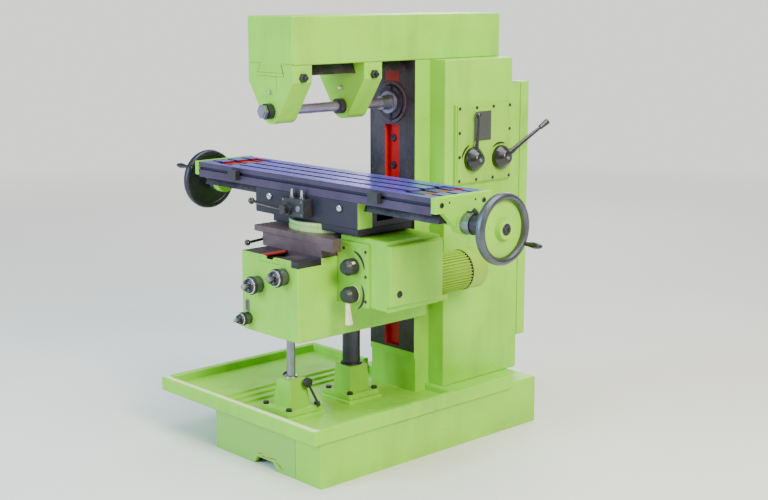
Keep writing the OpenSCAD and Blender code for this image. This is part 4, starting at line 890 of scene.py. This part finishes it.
def colour_plain_nodes():
    """Finishes of the nodes whose shape stays as the solid has it."""
    plain = {
        "pedestal_bolts": dark_steel, "post_clamp_lever": black_satin, "nose_ring": ring_iron,
        "shaft_bearings": satin_steel, "speed_window": window_black, "main_motor": motor_enamel,
        "drive_belt": belt_rubber, "door_hinges": dark_steel,
        "spindle_gear": dark_steel, "arbor": arbor_steel, "arbor_collars": satin_steel,
        "input_shaft": satin_steel, "motor_rotor": dark_steel, "outer_bush": dark_steel,
        "inner_bush": dark_steel, "outer_clamp_nut": black_satin, "inner_clamp_nut": black_satin,
        "knee_keeper": dark_steel, "feed_rotor": dark_steel, "guide_post": satin_steel,
        "elevating_screw": satin_steel, "elevating_sleeve": dark_steel, "table_nut": nut_bronze,
        "swivel_ring": ring_enamel, "left_plunger": bright_steel, "right_plunger": bright_steel,
        "trip_dogs": black_satin, "cross_screw": satin_steel,
        "vertical_shaft": satin_steel, "lower_shaft": satin_steel, "feed_lever": black_gloss,
        "saddle_lever": black_gloss, "plate_screws": black_satin, "handwheels": dark_steel,
        "right_grip": black_gloss, "left_grip": black_gloss, "upper_selector": black_gloss,
        "lower_selector": black_gloss, "front_speed_lever": black_gloss, "rear_speed_lever": black_gloss,
        "feed_motor": motor_enamel}
    for node, finish in plain.items():
        for place in nodes[node].material_slots:
            place.material = finish


# Turned and bent parts

def rounded_end(radius, height, corner, steps=5):
    """Profile points that round the far corner of a cylinder."""
    points = []
    for k in range(steps + 1):
        angle = math.pi / 2 * k / steps
        points.append((radius - corner + corner * math.cos(angle),
                       height - corner + corner * math.sin(angle)))
    return points


def ball(radius, centre, low=-0.92, steps=12):
    """Profile points of a ball from its neck to its tip."""
    start = math.asin(low)
    turns = [start + (math.pi / 2 - start) * k / steps for k in range(steps + 1)]
    return [(max(0.0, radius * math.cos(turn)), centre + radius * math.sin(turn)) for turn in turns]


def front_dial(name, node, body, x, z, radius, length, shaft_end):
    """A dial on the knee's front: graduated sleeve, knurled ring, bright ring, nose with clutch teeth."""
    piece = Piece(name)
    face = KNEE_FRONT
    at = (x, face, z)
    piece.turned([(0, 1), (14, 1), (14, -(shaft_end - face)), (0, -(shaft_end - face))][::-1], at,
                 FORWARD, satin_steel, 32)
    low, ring, top = length * 0.56, length * 0.76, length
    piece.turned([(0, 0.5), (radius * 0.90, 0.5), (radius * 0.92, 2.0), (radius * 0.92, low - 1.5),
                  (radius * 0.88, low), (0, low)], at, FORWARD, grey_steel, 64)
    piece.turned([(0, low), (radius * 0.94, low), (radius * 0.97, low + 1), (radius * 0.97, ring - 1),
                  (radius * 0.94, ring), (0, ring)], at, FORWARD, dark_steel, 64)
    ring_of_bars(piece, (x, face - low - 1.2, z), FORWARD, dark_steel, 60, radius * 0.97, 1.8, 1.5,
                 ring - low - 2.4)
    ring_of_bars(piece, (x, face - 3.0, z), FORWARD, mark_black, 60, radius * 0.92, 0.5, 0.6, 6.0, 5, 1.7)
    piece.turned([(0, ring), (radius * 0.86, ring), (radius * 0.90, ring + 1), (radius * 0.90, ring + 3),
                  (radius * 0.84, ring + 5), (0, ring + 5)], at, FORWARD, bright_steel, 64)
    piece.turned([(0, ring + 4), (radius * 0.80, ring + 4), (radius * 0.76, top - 3), (radius * 0.70, top),
                  (radius * 0.34, top), (radius * 0.30, top - 2), (0, top - 2)], at, FORWARD, dark_steel, 64)
    for turn in range(4):
        angle = math.radians(45 + 90 * turn)
        across = Vector((math.cos(angle), 0, math.sin(angle)))
        side = Vector((-math.sin(angle), 0, math.cos(angle)))
        centre = Vector((x, 0, z))
        corners = [centre + across * u + side * v for u, v in
                   ((radius * 0.36, -4.5), (radius * 0.66, -5.5), (radius * 0.66, 5.5),
                    (radius * 0.36, 4.5))]
        piece.prism([(c.x, c.z) for c in corners], face - top - 7, face - top + 0.5, "y", grey_steel, 0.8)
    piece.turned([(0, top - 3), (radius * 0.29, top - 3), *rounded_end(radius * 0.29, length + 24, 2.5),
                  (0, length + 24)],
                 at, FORWARD, satin_steel, 32)
    piece.done(body, "bright_steel", node)


def dress_dials():
    front_dial("cross_dial", "cross_screw", "cross_screw", -60, 655, 34, 53, -83)
    front_dial("lift_dial", "vertical_shaft", "vertical_shaft", 86, 705, 34, 53, -172)
    front_dial("lower_dial", "lower_shaft", "lower_shaft", -124, 518, 25, 44, -446)


def selector(name, node, z, handle):
    """A deep matte knob on the feed plate, coned at its end; the lower one has a pale handle."""
    piece = Piece(name)
    at = (KNOB_X, FEED_FACE, z)
    piece.turned([(0, -36), (11, -36), (11, 1), (0, 1)], at, FORWARD, dark_steel, 32)
    piece.turned([(0, 0.6), (28.4, 0.6), (30, 2.2), (30, 33), (28.8, 35), (22.0, 48.6), (20.0, 50), (0, 50)],
                 at, FORWARD, black_satin, 56)
    if handle:
        piece.turned([(29.6, 0.8), (32.6, 0.8), (32.6, 3.4), (31.4, 4.6), (29.6, 4.6)], at, FORWARD,
                     ring_enamel, 56, True)
        foot = Vector((KNOB_X, FEED_FACE - 32, z - 27))
        tilt = Vector((8.0, 0, -79.0)).normalized()
        piece.turned([(0, 0), (8.0, 0), (8.4, 8), (10.0, 30), (12.4, 56), (14.2, 74), (14.2, 78),
                      (13.0, 79.4), (0, 79.4)],
                     foot, tilt, pale_handle, 32)
    else:
        piece.prism([(272, z + 20), (279, z + 13), (281.5, z + 15.5), (274.5, z + 22.5)], FEED_FACE - 30,
                    FEED_FACE - 16, "y", pale_handle, 0.6)
    piece.done(node, "black_plastic", node)


def dress_feed_box():
    selector("upper_selector_knob", "upper_selector", UPPER_KNOB_Z, False)
    selector("lower_selector_knob", "lower_selector", LOWER_KNOB_Z, True)
    trim = Piece("feed_plate_trim")
    places = [(x, FEED_FACE, z) for x, z in ((200, 802), (315, 802), (315, 713), (315, 623), (200, 623))]
    screws(trim, places, FORWARD, 6.2, 3.2, black_satin)
    for z, start, sweep in ((UPPER_KNOB_Z, -5, 95), (LOWER_KNOB_Z, -70, 115)):
        trim.crescent((KNOB_X, z), "y", 46, 56, start, sweep, FEED_FACE - 1.6, FEED_FACE, mark_black)
    trim.done("knee", "black_steel")
    plug = Piece("feed_box_oil_plug")
    plug.turned([(0, -1), (13, -1), (13, 1.4), (11.6, 2.6), (0, 2.6)], (430, -261, 661), RIGHTWARD,
                dark_steel, 32)
    screws(plug, [(432.6, -261, 661)], RIGHTWARD, 8.4, 5.0, black_satin, 6)
    plug.done("knee", "dark_steel")


def dress_knee():
    sight = Piece("knee_sight")
    outline, inner = [], []
    corners = 24
    for k in range(corners):
        angle = 2 * math.pi * k / corners
        rise = 12 if math.sin(angle) > 0 else -12
        for points, radius in ((outline, 11.5), (inner, 8.0)):
            points.append((-130 + radius * math.cos(angle), 565 + rise + radius * math.sin(angle)))
    sight.prism(outline, KNEE_FRONT - 2.6, KNEE_FRONT + 0.4, "y", satin_steel, 0.7)
    sight.prism(inner, KNEE_FRONT - 3.2, KNEE_FRONT - 2.0, "y", window_black, 0.4)
    sight.done("knee", "bright_steel")
    lip = Piece("knee_trough_lip")
    lip_front, lip_back = KNEE_FRONT - 1.0, KNEE_FRONT + 3.0
    lip.slab((-60, lip_front, 745.0), (60, lip_back, 757.0), green_enamel, 0.5)
    for peak in (((-47, 756), (-12, 756), (-15, 763.5), (-24, 766.5), (-47, 767.5)),
                 ((22, 756), (47, 756), (47, 767.5), (32, 766.0), (25, 762.5))):
        lip.prism(peak, lip_front, lip_back, "y", green_enamel, 0.5)
    lip.done("knee", "green_paint")
    rail = Piece("knee_top_rail")
    rail.slab((127, KNEE_FRONT - 1.2, 744), (164.2, -392, KNEE_TOP + 0.1), dark_steel, 1.0)
    rail.done("knee", "dark_steel")


def dress_feed_motor():
    """The feed motor: flange, ribbed barrel and a smooth cowl with a slotted end."""
    piece = Piece("feed_motor_ribbed")
    at = (MOTOR_X, -44, MOTOR_Z)
    piece.turned([(0, 0), (76, 0), (78, 2), (78, 14), (76, 16), (70, 17.5), (69, 19), (69, 214), (70, 216),
                  (0, 216)], at, BACKWARD, motor_enamel, 72)
    ring_of_bars(piece, (MOTOR_X, -28, MOTOR_Z), BACKWARD, motor_enamel, 40, 71.6, 9.6, 3.4, 196.0)
    piece.turned([(0, 213), (77.4, 213), (77.4, 217.2), (0, 217.2)], at, BACKWARD, slot_shadow, 72)
    piece.turned([(0, 217), (76.4, 217), (78, 219), *rounded_end(78, 304.6, 16, 7), (56, 304.8), (55, 303.4),
                  (24, 303.4), (23, 305), (0, 305)], at, BACKWARD, motor_enamel, 72)
    ring_of_bars(piece, (MOTOR_X, 258.9, MOTOR_Z), BACKWARD, slot_shadow, 12, 39.5, 29.0, 6.5, 1.2)
    for x in (-60, 60):
        piece.slab((MOTOR_X + x - 12, -30, 586.0), (MOTOR_X + x + 12, 40, 606), motor_enamel, 2.0)
    piece.done("knee", "green_paint", "feed_motor")


def lever_hub(piece, at):
    piece.turned([(0, -26), (12, -26), (12, 3), (0, 3)], at, RIGHTWARD, dark_steel, 32)
    piece.turned([(0, 0.6), (45, 0.6), (47, 2.5), (47, 14), (45.5, 18), (42, 23), (36, 30), (30, 36.5),
                  (26, 41), (24, 44), (20, 46), (9, 46), (7.5, 44.6), (0, 44.6)],
                 at, RIGHTWARD, black_gloss, 56)
    piece.turned([(0, 44), (7, 44), (7, 46.2), (5.8, 47), (0, 47)], at, RIGHTWARD, satin_steel, 24)


def front_lever():
    """A domed hub with a slightly bent bar that ends in a ball."""
    piece = Piece("front_lever_shaped")
    lever_hub(piece, (PLATE_FACE, *FRONT_HUB))
    foot = Vector((PLATE_FACE + 22, *FRONT_HUB))
    path = [foot + Vector(step) for step in ((0, 0, 4), (1, 0, 40), (1, 1, 58), (5, 3, 110), (9, 1, 152),
                                             (9, 0, 164))]
    piece.tube(path, [9.0, 8.6, 6.8, 5.8, 5.4, 5.4], black_gloss, 24)
    piece.turned([(0, -11.4), *ball(12, 0, -0.9), (0, 12)], foot + Vector((9, 0, 169)), UPWARD, black_gloss,
                 32)
    piece.done("front_lever", "black_steel", "front_speed_lever")


def rear_lever():
    """A domed hub with a bar that is thick at its foot and ends in a straight knob."""
    piece = Piece("rear_lever_shaped")
    at = (PLATE_FACE, *REAR_HUB)
    lever_hub(piece, at)
    lean = Matrix.Rotation(math.radians(-57), 3, "X") @ Matrix.Rotation(math.radians(11), 3, "Y")
    up = lean @ Vector(UPWARD)
    foot = Vector((PLATE_FACE + 22, *REAR_HUB))
    tip = foot + up * 236
    piece.tube([foot + up * 4, foot + up * 44, foot + up * 62, foot + up * 150, tip - up * 26],
               [13.0, 12.4, 9.4, 7.6, 6.6], black_gloss, 24)
    piece.turned([(0, -34), (8.6, -34), (9.8, -32), (12.2, 6), (11.4, 9.6), (8, 11.6), (0, 12)], tip, up,
                 black_gloss, 32)
    piece.done("rear_lever", "black_steel", "rear_speed_lever")


def dress_speed_plate():
    front_lever()
    rear_lever()
    trim = Piece("speed_plate_trim")
    for hub, start, sweep in ((FRONT_HUB, 108, 64), (REAR_HUB, 62, 74)):
        trim.crescent(hub, "x", 52, 60, start, sweep, PLATE_FACE, PLATE_FACE + 1.4, mark_black)
    border = [(320, 1131), (425, 1131), (425, 1254), (332, 1254), (320, 1242)]
    trim.prism(border, PLATE_FACE, PLATE_FACE + 1.2, "x", plate_enamel, 0.5)
    pane = [(325, 1136), (420, 1136), (420, 1249), (335, 1249), (325, 1239)]
    trim.prism(pane, PLATE_FACE + 1.0, PLATE_FACE + 2.0, "x", window_black, 0.3)
    trim.done("frame", "black_plastic", "speed_window")
    heads = Piece("speed_plate_screws")
    low, high, near, far = 988, 1264, 247, 528
    places = [(PLATE_FACE, near + i * (far - near) / 3, z) for i in range(4) for z in (low, high)]
    places += [(PLATE_FACE, y, low + i * (high - low) / 3) for i in (1, 2) for y in (near, far)]
    screws(heads, places, RIGHTWARD, 6.8, 3.0, black_satin)
    heads.done("frame", "black_steel", "plate_screws")


def grip(name, node, wheel, angle, body):
    """A pear-shaped turning grip on its pin."""
    piece = Piece(name)
    side, wheel_x = wheel
    turn = math.radians(angle)
    at = Vector((side * (TABLE_END + wheel_x), SCREW_Y + GRIP_CIRCLE * math.cos(turn),
                 SCREW_Z + GRIP_CIRCLE * math.sin(turn)))
    along = (side, 0, 0)
    piece.turned([(0, -10), (5, -10), (5, 13), (0, 13)], at, along, bright_steel, 24)
    piece.turned([(0, 12.4), (9, 12.4), (9, 16), (7.2, 18), (6.8, 24), (7.6, 34), (9.6, 48), (11.0, 60),
                  (11.0, 68), (9.6, 77), (8.6, 84), (6.4, 90.0), (3.4, 93.6), (0, 94.5)],
                 at, along, black_gloss, 32)
    piece.done(body, "black_plastic", node)


def wheel_rule(centre, normal):
    radius = math.hypot(centre.y - SCREW_Y, centre.z - SCREW_Z)
    right = centre.x > 0
    if radius > 97.5:
        return grey_steel if right else dark_steel
    return green_enamel if right else dark_steel


def screw_rule(centre, normal):
    radius = math.hypot(centre.y - SCREW_Y, centre.z - SCREW_Z)
    return satin_steel if abs(centre.x) < 728.5 and radius > 15 else dark_steel


def dress_table():
    casting("handwheels", 0.0, 0.0, wheel_rule, "table_screw", "dark_steel")
    casting("table_screw", 0.0, 0.0, screw_rule, "table_screw", "bright_steel")
    grip("right_grip_turned", "right_grip", RIGHT_WHEEL, -32, "right_grip")
    grip("left_grip_turned", "left_grip", LEFT_WHEEL, 149, "left_grip")
    rims = Piece("wheel_rims")
    for (side, wheel_x), finish in ((RIGHT_WHEEL, grey_steel), (LEFT_WHEEL, dark_steel)):
        loop = [(107.4 + 13.4 * math.cos(math.radians(30 * k)), 6.0 + 17.0 * math.sin(math.radians(30 * k)))
                for k in range(12)]
        rims.turned(loop, (side * (TABLE_END + wheel_x), SCREW_Y, SCREW_Z), (side, 0, 0), finish, 96, True)
    rims.done("table_screw", "dark_steel")
    hubs = Piece("wheel_nuts")
    for side, wheel_x in (RIGHT_WHEEL, LEFT_WHEEL):
        end = (side * (TABLE_END + wheel_x + 21.5), SCREW_Y, SCREW_Z)
        hubs.turned([(0, 0), (20, 0), (20, 1.6), (18, 3.0), (0, 3.0)], end, (side, 0, 0), black_satin, 40)
        screws(hubs, [(end[0] + side * 2.8, SCREW_Y, SCREW_Z)], (side, 0, 0), 14.5, 6.5, black_satin, 6)
    hubs.done("table_screw", "black_steel")
    scales = Piece("table_dial_marks")
    for side in (1, -1):
        ring_of_bars(scales, (side * 697, SCREW_Y, SCREW_Z), (side, 0, 0), mark_black, 60, 37.0, 0.5, 0.8,
                     7.0, 5, 1.7)
        ring_of_bars(scales, (side * 717, SCREW_Y, SCREW_Z), (side, 0, 0), satin_steel, 72, 37.0, 0.9, 1.4,
                     9.0)
    scales.done("table_screw", "bright_steel")
    trim = Piece("table_end_trim")
    for side in (1, -1):
        screws(trim, [(side * 679, -309, 1009), (side * 679, -106, 1007)], (side, 0, 0), 9.5, 4.5,
               black_satin)
        screws(trim, [(side * 679, -273, 1015), (side * 679, -147, 1014)], (side, 0, 0), 4.0, 2.0,
               dark_steel)
        near, far = sorted((side * 688, side * 746))
        trim.slab((near, SCREW_Y - 4, 978.6), (far, SCREW_Y + 4, 981.0), black_satin, 0.5)
        trim.prism([(side * 708, 980.6), (side * 744, 980.6), (side * 725, 995), (side * 723, 995)][::side],
                   SCREW_Y - 2, SCREW_Y + 2, "y", black_satin, 0.4)
    trim.done("table", "black_steel")


def dress_carriage():
    bolts = Piece("carriage_bolts")
    for x in (-203, 196):
        at = (x, -332, 946)
        bolts.turned([(17, -0.4), (17, 0.9), (15.6, 1.8), (13.6, 1.8), (13.2, 0.6), (13.2, -0.4)], at,
                     FORWARD, slot_shadow, 40, True)
        bolts.turned([(0, -0.5), (12.6, -0.5), (12.6, 4.5), (11.6, 6.0), (9.5, 7.0), (5.4, 7.2), (4.6, 5.0),
                      (0, 5.0)], at, FORWARD, bright_steel, 40)
    at = (290, -242, 938)
    bolts.turned([(0, -0.5), (9.5, -0.5), (9.5, 5.0), (8.0, 7.4), (3.6, 8.4), (0, 8.6)], at, RIGHTWARD,
                 bright_steel, 32)
    bolts.turned([(0, -0.5), (12.5, -0.5), (12.5, 2.4), (0, 2.4)], at, RIGHTWARD, black_satin, 32)
    bolts.done("carriage", "bright_steel")
    marks = Piece("swivel_marks")
    ring_of_bars(marks, (0, SCREW_Y, 858.5), UPWARD, mark_black, 180, 160.0, 0.6, 0.9, 8.5, 5, 1.7)
    marks.done("carriage", "dark_steel")
    pointer = Piece("swivel_pointer")
    pointer.prism([(-4, 842.6), (4, 842.6), (0.6, 853.2), (-0.6, 853.2)], -362.5, -360.6, "y", bright_steel,
                  0.3)
    pointer.done("saddle", "bright_steel")
    caps = Piece("plunger_caps")
    for x in (-52, 4):
        caps.turned([(7.4, 960.6), (11, 960.6), (11, 963.0), (9.6, 964.4), (7.4, 964.4)], (x, -346, 0),
                    UPWARD, satin_steel, 32, True)
    screws(caps, [(-72, -374, 952), (34, -374, 952), (34, -374, 904), (-72, -374, 904)], FORWARD, 4.2, 2.2,
           satin_steel)
    caps.turned([(0, -0.4), (11.5, -0.4), (11.5, 1.6), (10, 2.6), (0, 2.6)], (14, -374, 926), FORWARD,
                satin_steel, 32)
    caps.done("carriage", "bright_steel")


def spindle_rule(centre, normal):
    away = math.hypot(centre.x, centre.z - SPINDLE_Z)
    if facing(normal, 1, -1) or centre.y > 110 or away < 40:
        return dark_steel
    return grey_steel


def dress_column():
    casting("spindle", 0.0, 0.0, spindle_rule, "spindle", "bright_steel")
    plugs = Piece("trough_plugs")
    for z in (1039, 1145):
        plugs.turned([(0, 0.2), (15, 0.2), (15, 3.4), (13, 5.2), (6.0, 5.2), (4.6, 3.0), (0, 3.0)],
                     (-18, 134, z), FORWARD, dark_steel, 32)
    plugs.done("frame", "dark_steel")
    ring = Piece("nose_ring_screws")
    turns = [math.radians(30 + 60 * k) for k in range(6)]
    screws(ring, [(72 * math.cos(turn), 102, SPINDLE_Z + 72 * math.sin(turn)) for turn in turns],
           FORWARD, 4.0, 2.2, dark_steel)
    ring.done("frame", "dark_steel")
    keys = Piece("drive_keys")
    for side in (1, -1):
        middle = SPINDLE_Z + side * 53
        keys.slab((-8, 86, middle - 9.5), (8, 95.2, middle + 9.5), dark_steel, 0.8)
        screws(keys, [(0, 86, middle)], FORWARD, 3.6, 2.0, black_satin)
    keys.done("spindle", "dark_steel")
    nut = Piece("arbor_nut")
    nut.turned([(18.2, 0), (25, 0), (26, 1), (26, 13), (25, 14), (18.2, 14)], (0, -508, SPINDLE_Z), FORWARD,
               satin_steel, 6, True)
    nut.done("outer_support", "bright_steel")


def dress_pedestals():
    wiper = Piece("post_wiper")
    wiper.turned([(16.6, 298), (25, 298), (25, 303), (23, 306), (18.6, 308), (16.6, 308)], (0, POST_Y, 0),
                 UPWARD, bright_steel, 48, True)
    wiper.done("frame", "bright_steel")
    collar = Piece("sleeve_wiper")
    collar.turned([(34.6, 296), (42, 296), (42, 299), (40, 302), (36.5, 303), (34.6, 303)], (0, LIFT_Y, 0),
                  UPWARD, dark_steel, 56, True)
    collar.done("frame", "dark_steel")
    washers = Piece("bolt_washers")
    profile = [(radius, FLANGE_TOP + rise) for radius, rise in
               ((6.4, 0), (12.0, 0), (12.0, 1.6), (11.2, 2.2), (10.4, 2.2), (6.4, 1.8))]
    for half, y in ((67, POST_Y), (62, LIFT_Y)):
        for i, j in ((-1, -1), (-1, 1), (1, -1), (1, 1)):
            washers.turned(profile, (i * half, y + j * half, 0), UPWARD, dark_steel, 28, True)
    washers.done("frame", "dark_steel")
    clamp = Piece("post_clamp_levers")
    clamp.tube([(x, CLAMP_Y, CLAMP_Z) for x in (-62, -50, 50, 62)], 7.0, satin_steel, 24)
    for side in (1, -1):
        hub = (side * 52, CLAMP_Y, CLAMP_Z)
        clamp.turned([(0, 0), (16.6, 0), (18, 1.4), (18, 14.4), (16.6, 16), (8, 17), (0, 17)], hub,
                     (side, 0, 0), black_satin, 36)
        start = Vector((side * 60, CLAMP_Y, CLAMP_Z))
        if side > 0:
            lean = Matrix.Rotation(math.radians(18), 3, "X") @ Matrix.Rotation(math.radians(-18), 3, "Y")
            reach = 98
        else:
            lean = Matrix.Rotation(math.radians(-16), 3, "X")
            reach = 78
        down = lean @ Vector((0, 0, -1))
        clamp.tube([start + down * 4, start + down * 26, start + down * (reach - 24), start + down * reach],
                   [6.2, 4.4, 5.0, 6.6], black_satin, 20)
    clamp.done("post_clamp", "black_steel", "post_clamp_lever")


def dress_supports():
    for name, body, front, nut in (("outer_oil_cup", "outer_support", OUTER_FRONT, "outer_clamp_nut"),
                                   ("inner_oil_cup", "inner_support", INNER_FRONT, "inner_clamp_nut")):
        cup = Piece(name)
        cup.turned([(0, -4), (6, -4), (6, 2), (8.5, 3), (8.5, 11), (7, 13), (0, 13.6)], (0, front, 1352),
                   FORWARD, bright_steel, 28)
        clamp = (125, front + 44, 1405)
        cup.turned([(8.8, 15), (13, 14.6), (16, 13.5), (17.3, 11), (17.3, 2.5), (16.5, 1), (15, 0),
                    (8.8, 0)], clamp, RIGHTWARD, black_satin, 6, True)
        cup.turned([(0, 0), (8.2, 0), (8.2, 24), (7, 26), (0, 26)], clamp, RIGHTWARD, dark_steel, 28)
        cup.done(body, "black_steel", nut)
    seam = Piece("support_seam")
    for first, last in (((-114, 1453), (-53, 1453)), ((-53, 1453), (-72, 1420)), ((-72, 1420), (76, 1420)),
                        ((76, 1420), (63, 1453)), ((63, 1453), (133, 1453)), ((36, 1360), (36, 1407))):
        along = Vector((last[0] - first[0], last[1] - first[1])).normalized()
        side = Vector((-along.y, along.x)) * 0.6
        corners = [Vector(first) + side, Vector(last) + side, Vector(last) - side, Vector(first) - side]
        outline = [(c.x, c.y) for c in corners][::-1]
        seam.prism(outline, OUTER_FRONT - 0.4, OUTER_FRONT + 0.2, "y", soil_brown)
    seam.done("outer_support", "green_paint")


def dress_base():
    seam = Piece("base_panel_line")
    seam.slab((215.6, -565.5, 6), (216.8, -564.8, 160), soil_brown, 0.2)
    seam.done("frame", "green_paint")
    rust = Piece("notch_scratches")
    for x, z, long, tilt in ((-4, 41, 30, 4), (14, 37, 46, -3), (52, 40, 58, 2), (96, 33, 44, -10),
                             (118, 26, 26, -14)):
        low = [(x, z), (x + long, z + tilt), (x + long * 0.96, z + tilt + 2.2),
               (x + long * 0.4, z + tilt * 0.4 + 3.4)]
        rust.prism(low, -565.4, -564.8, "y", rust_brown)
    rust.done("frame", "green_paint")


def dress_door():
    latch = Piece("door_latch")
    latch.turned([(0, 0), (14, 0), (15, 1.4), (15, 12.6), (13.4, 14.4), (0, 14.6)], (147, 650.0, 835),
                 BACKWARD, black_gloss, 36)
    latch.slab((144.5, 660.8, 824), (149.5, 663.8, 846), satin_steel, 0.6)
    latch.done("door", "black_plastic")


light_studio()
place_camera()
lay_floor()
dress_castings()
colour_plain_nodes()
dress_dials()
dress_feed_box()
dress_knee()
dress_feed_motor()
dress_speed_plate()
dress_table()
dress_carriage()
dress_column()
dress_pedestals()
dress_supports()
dress_base()
dress_door()
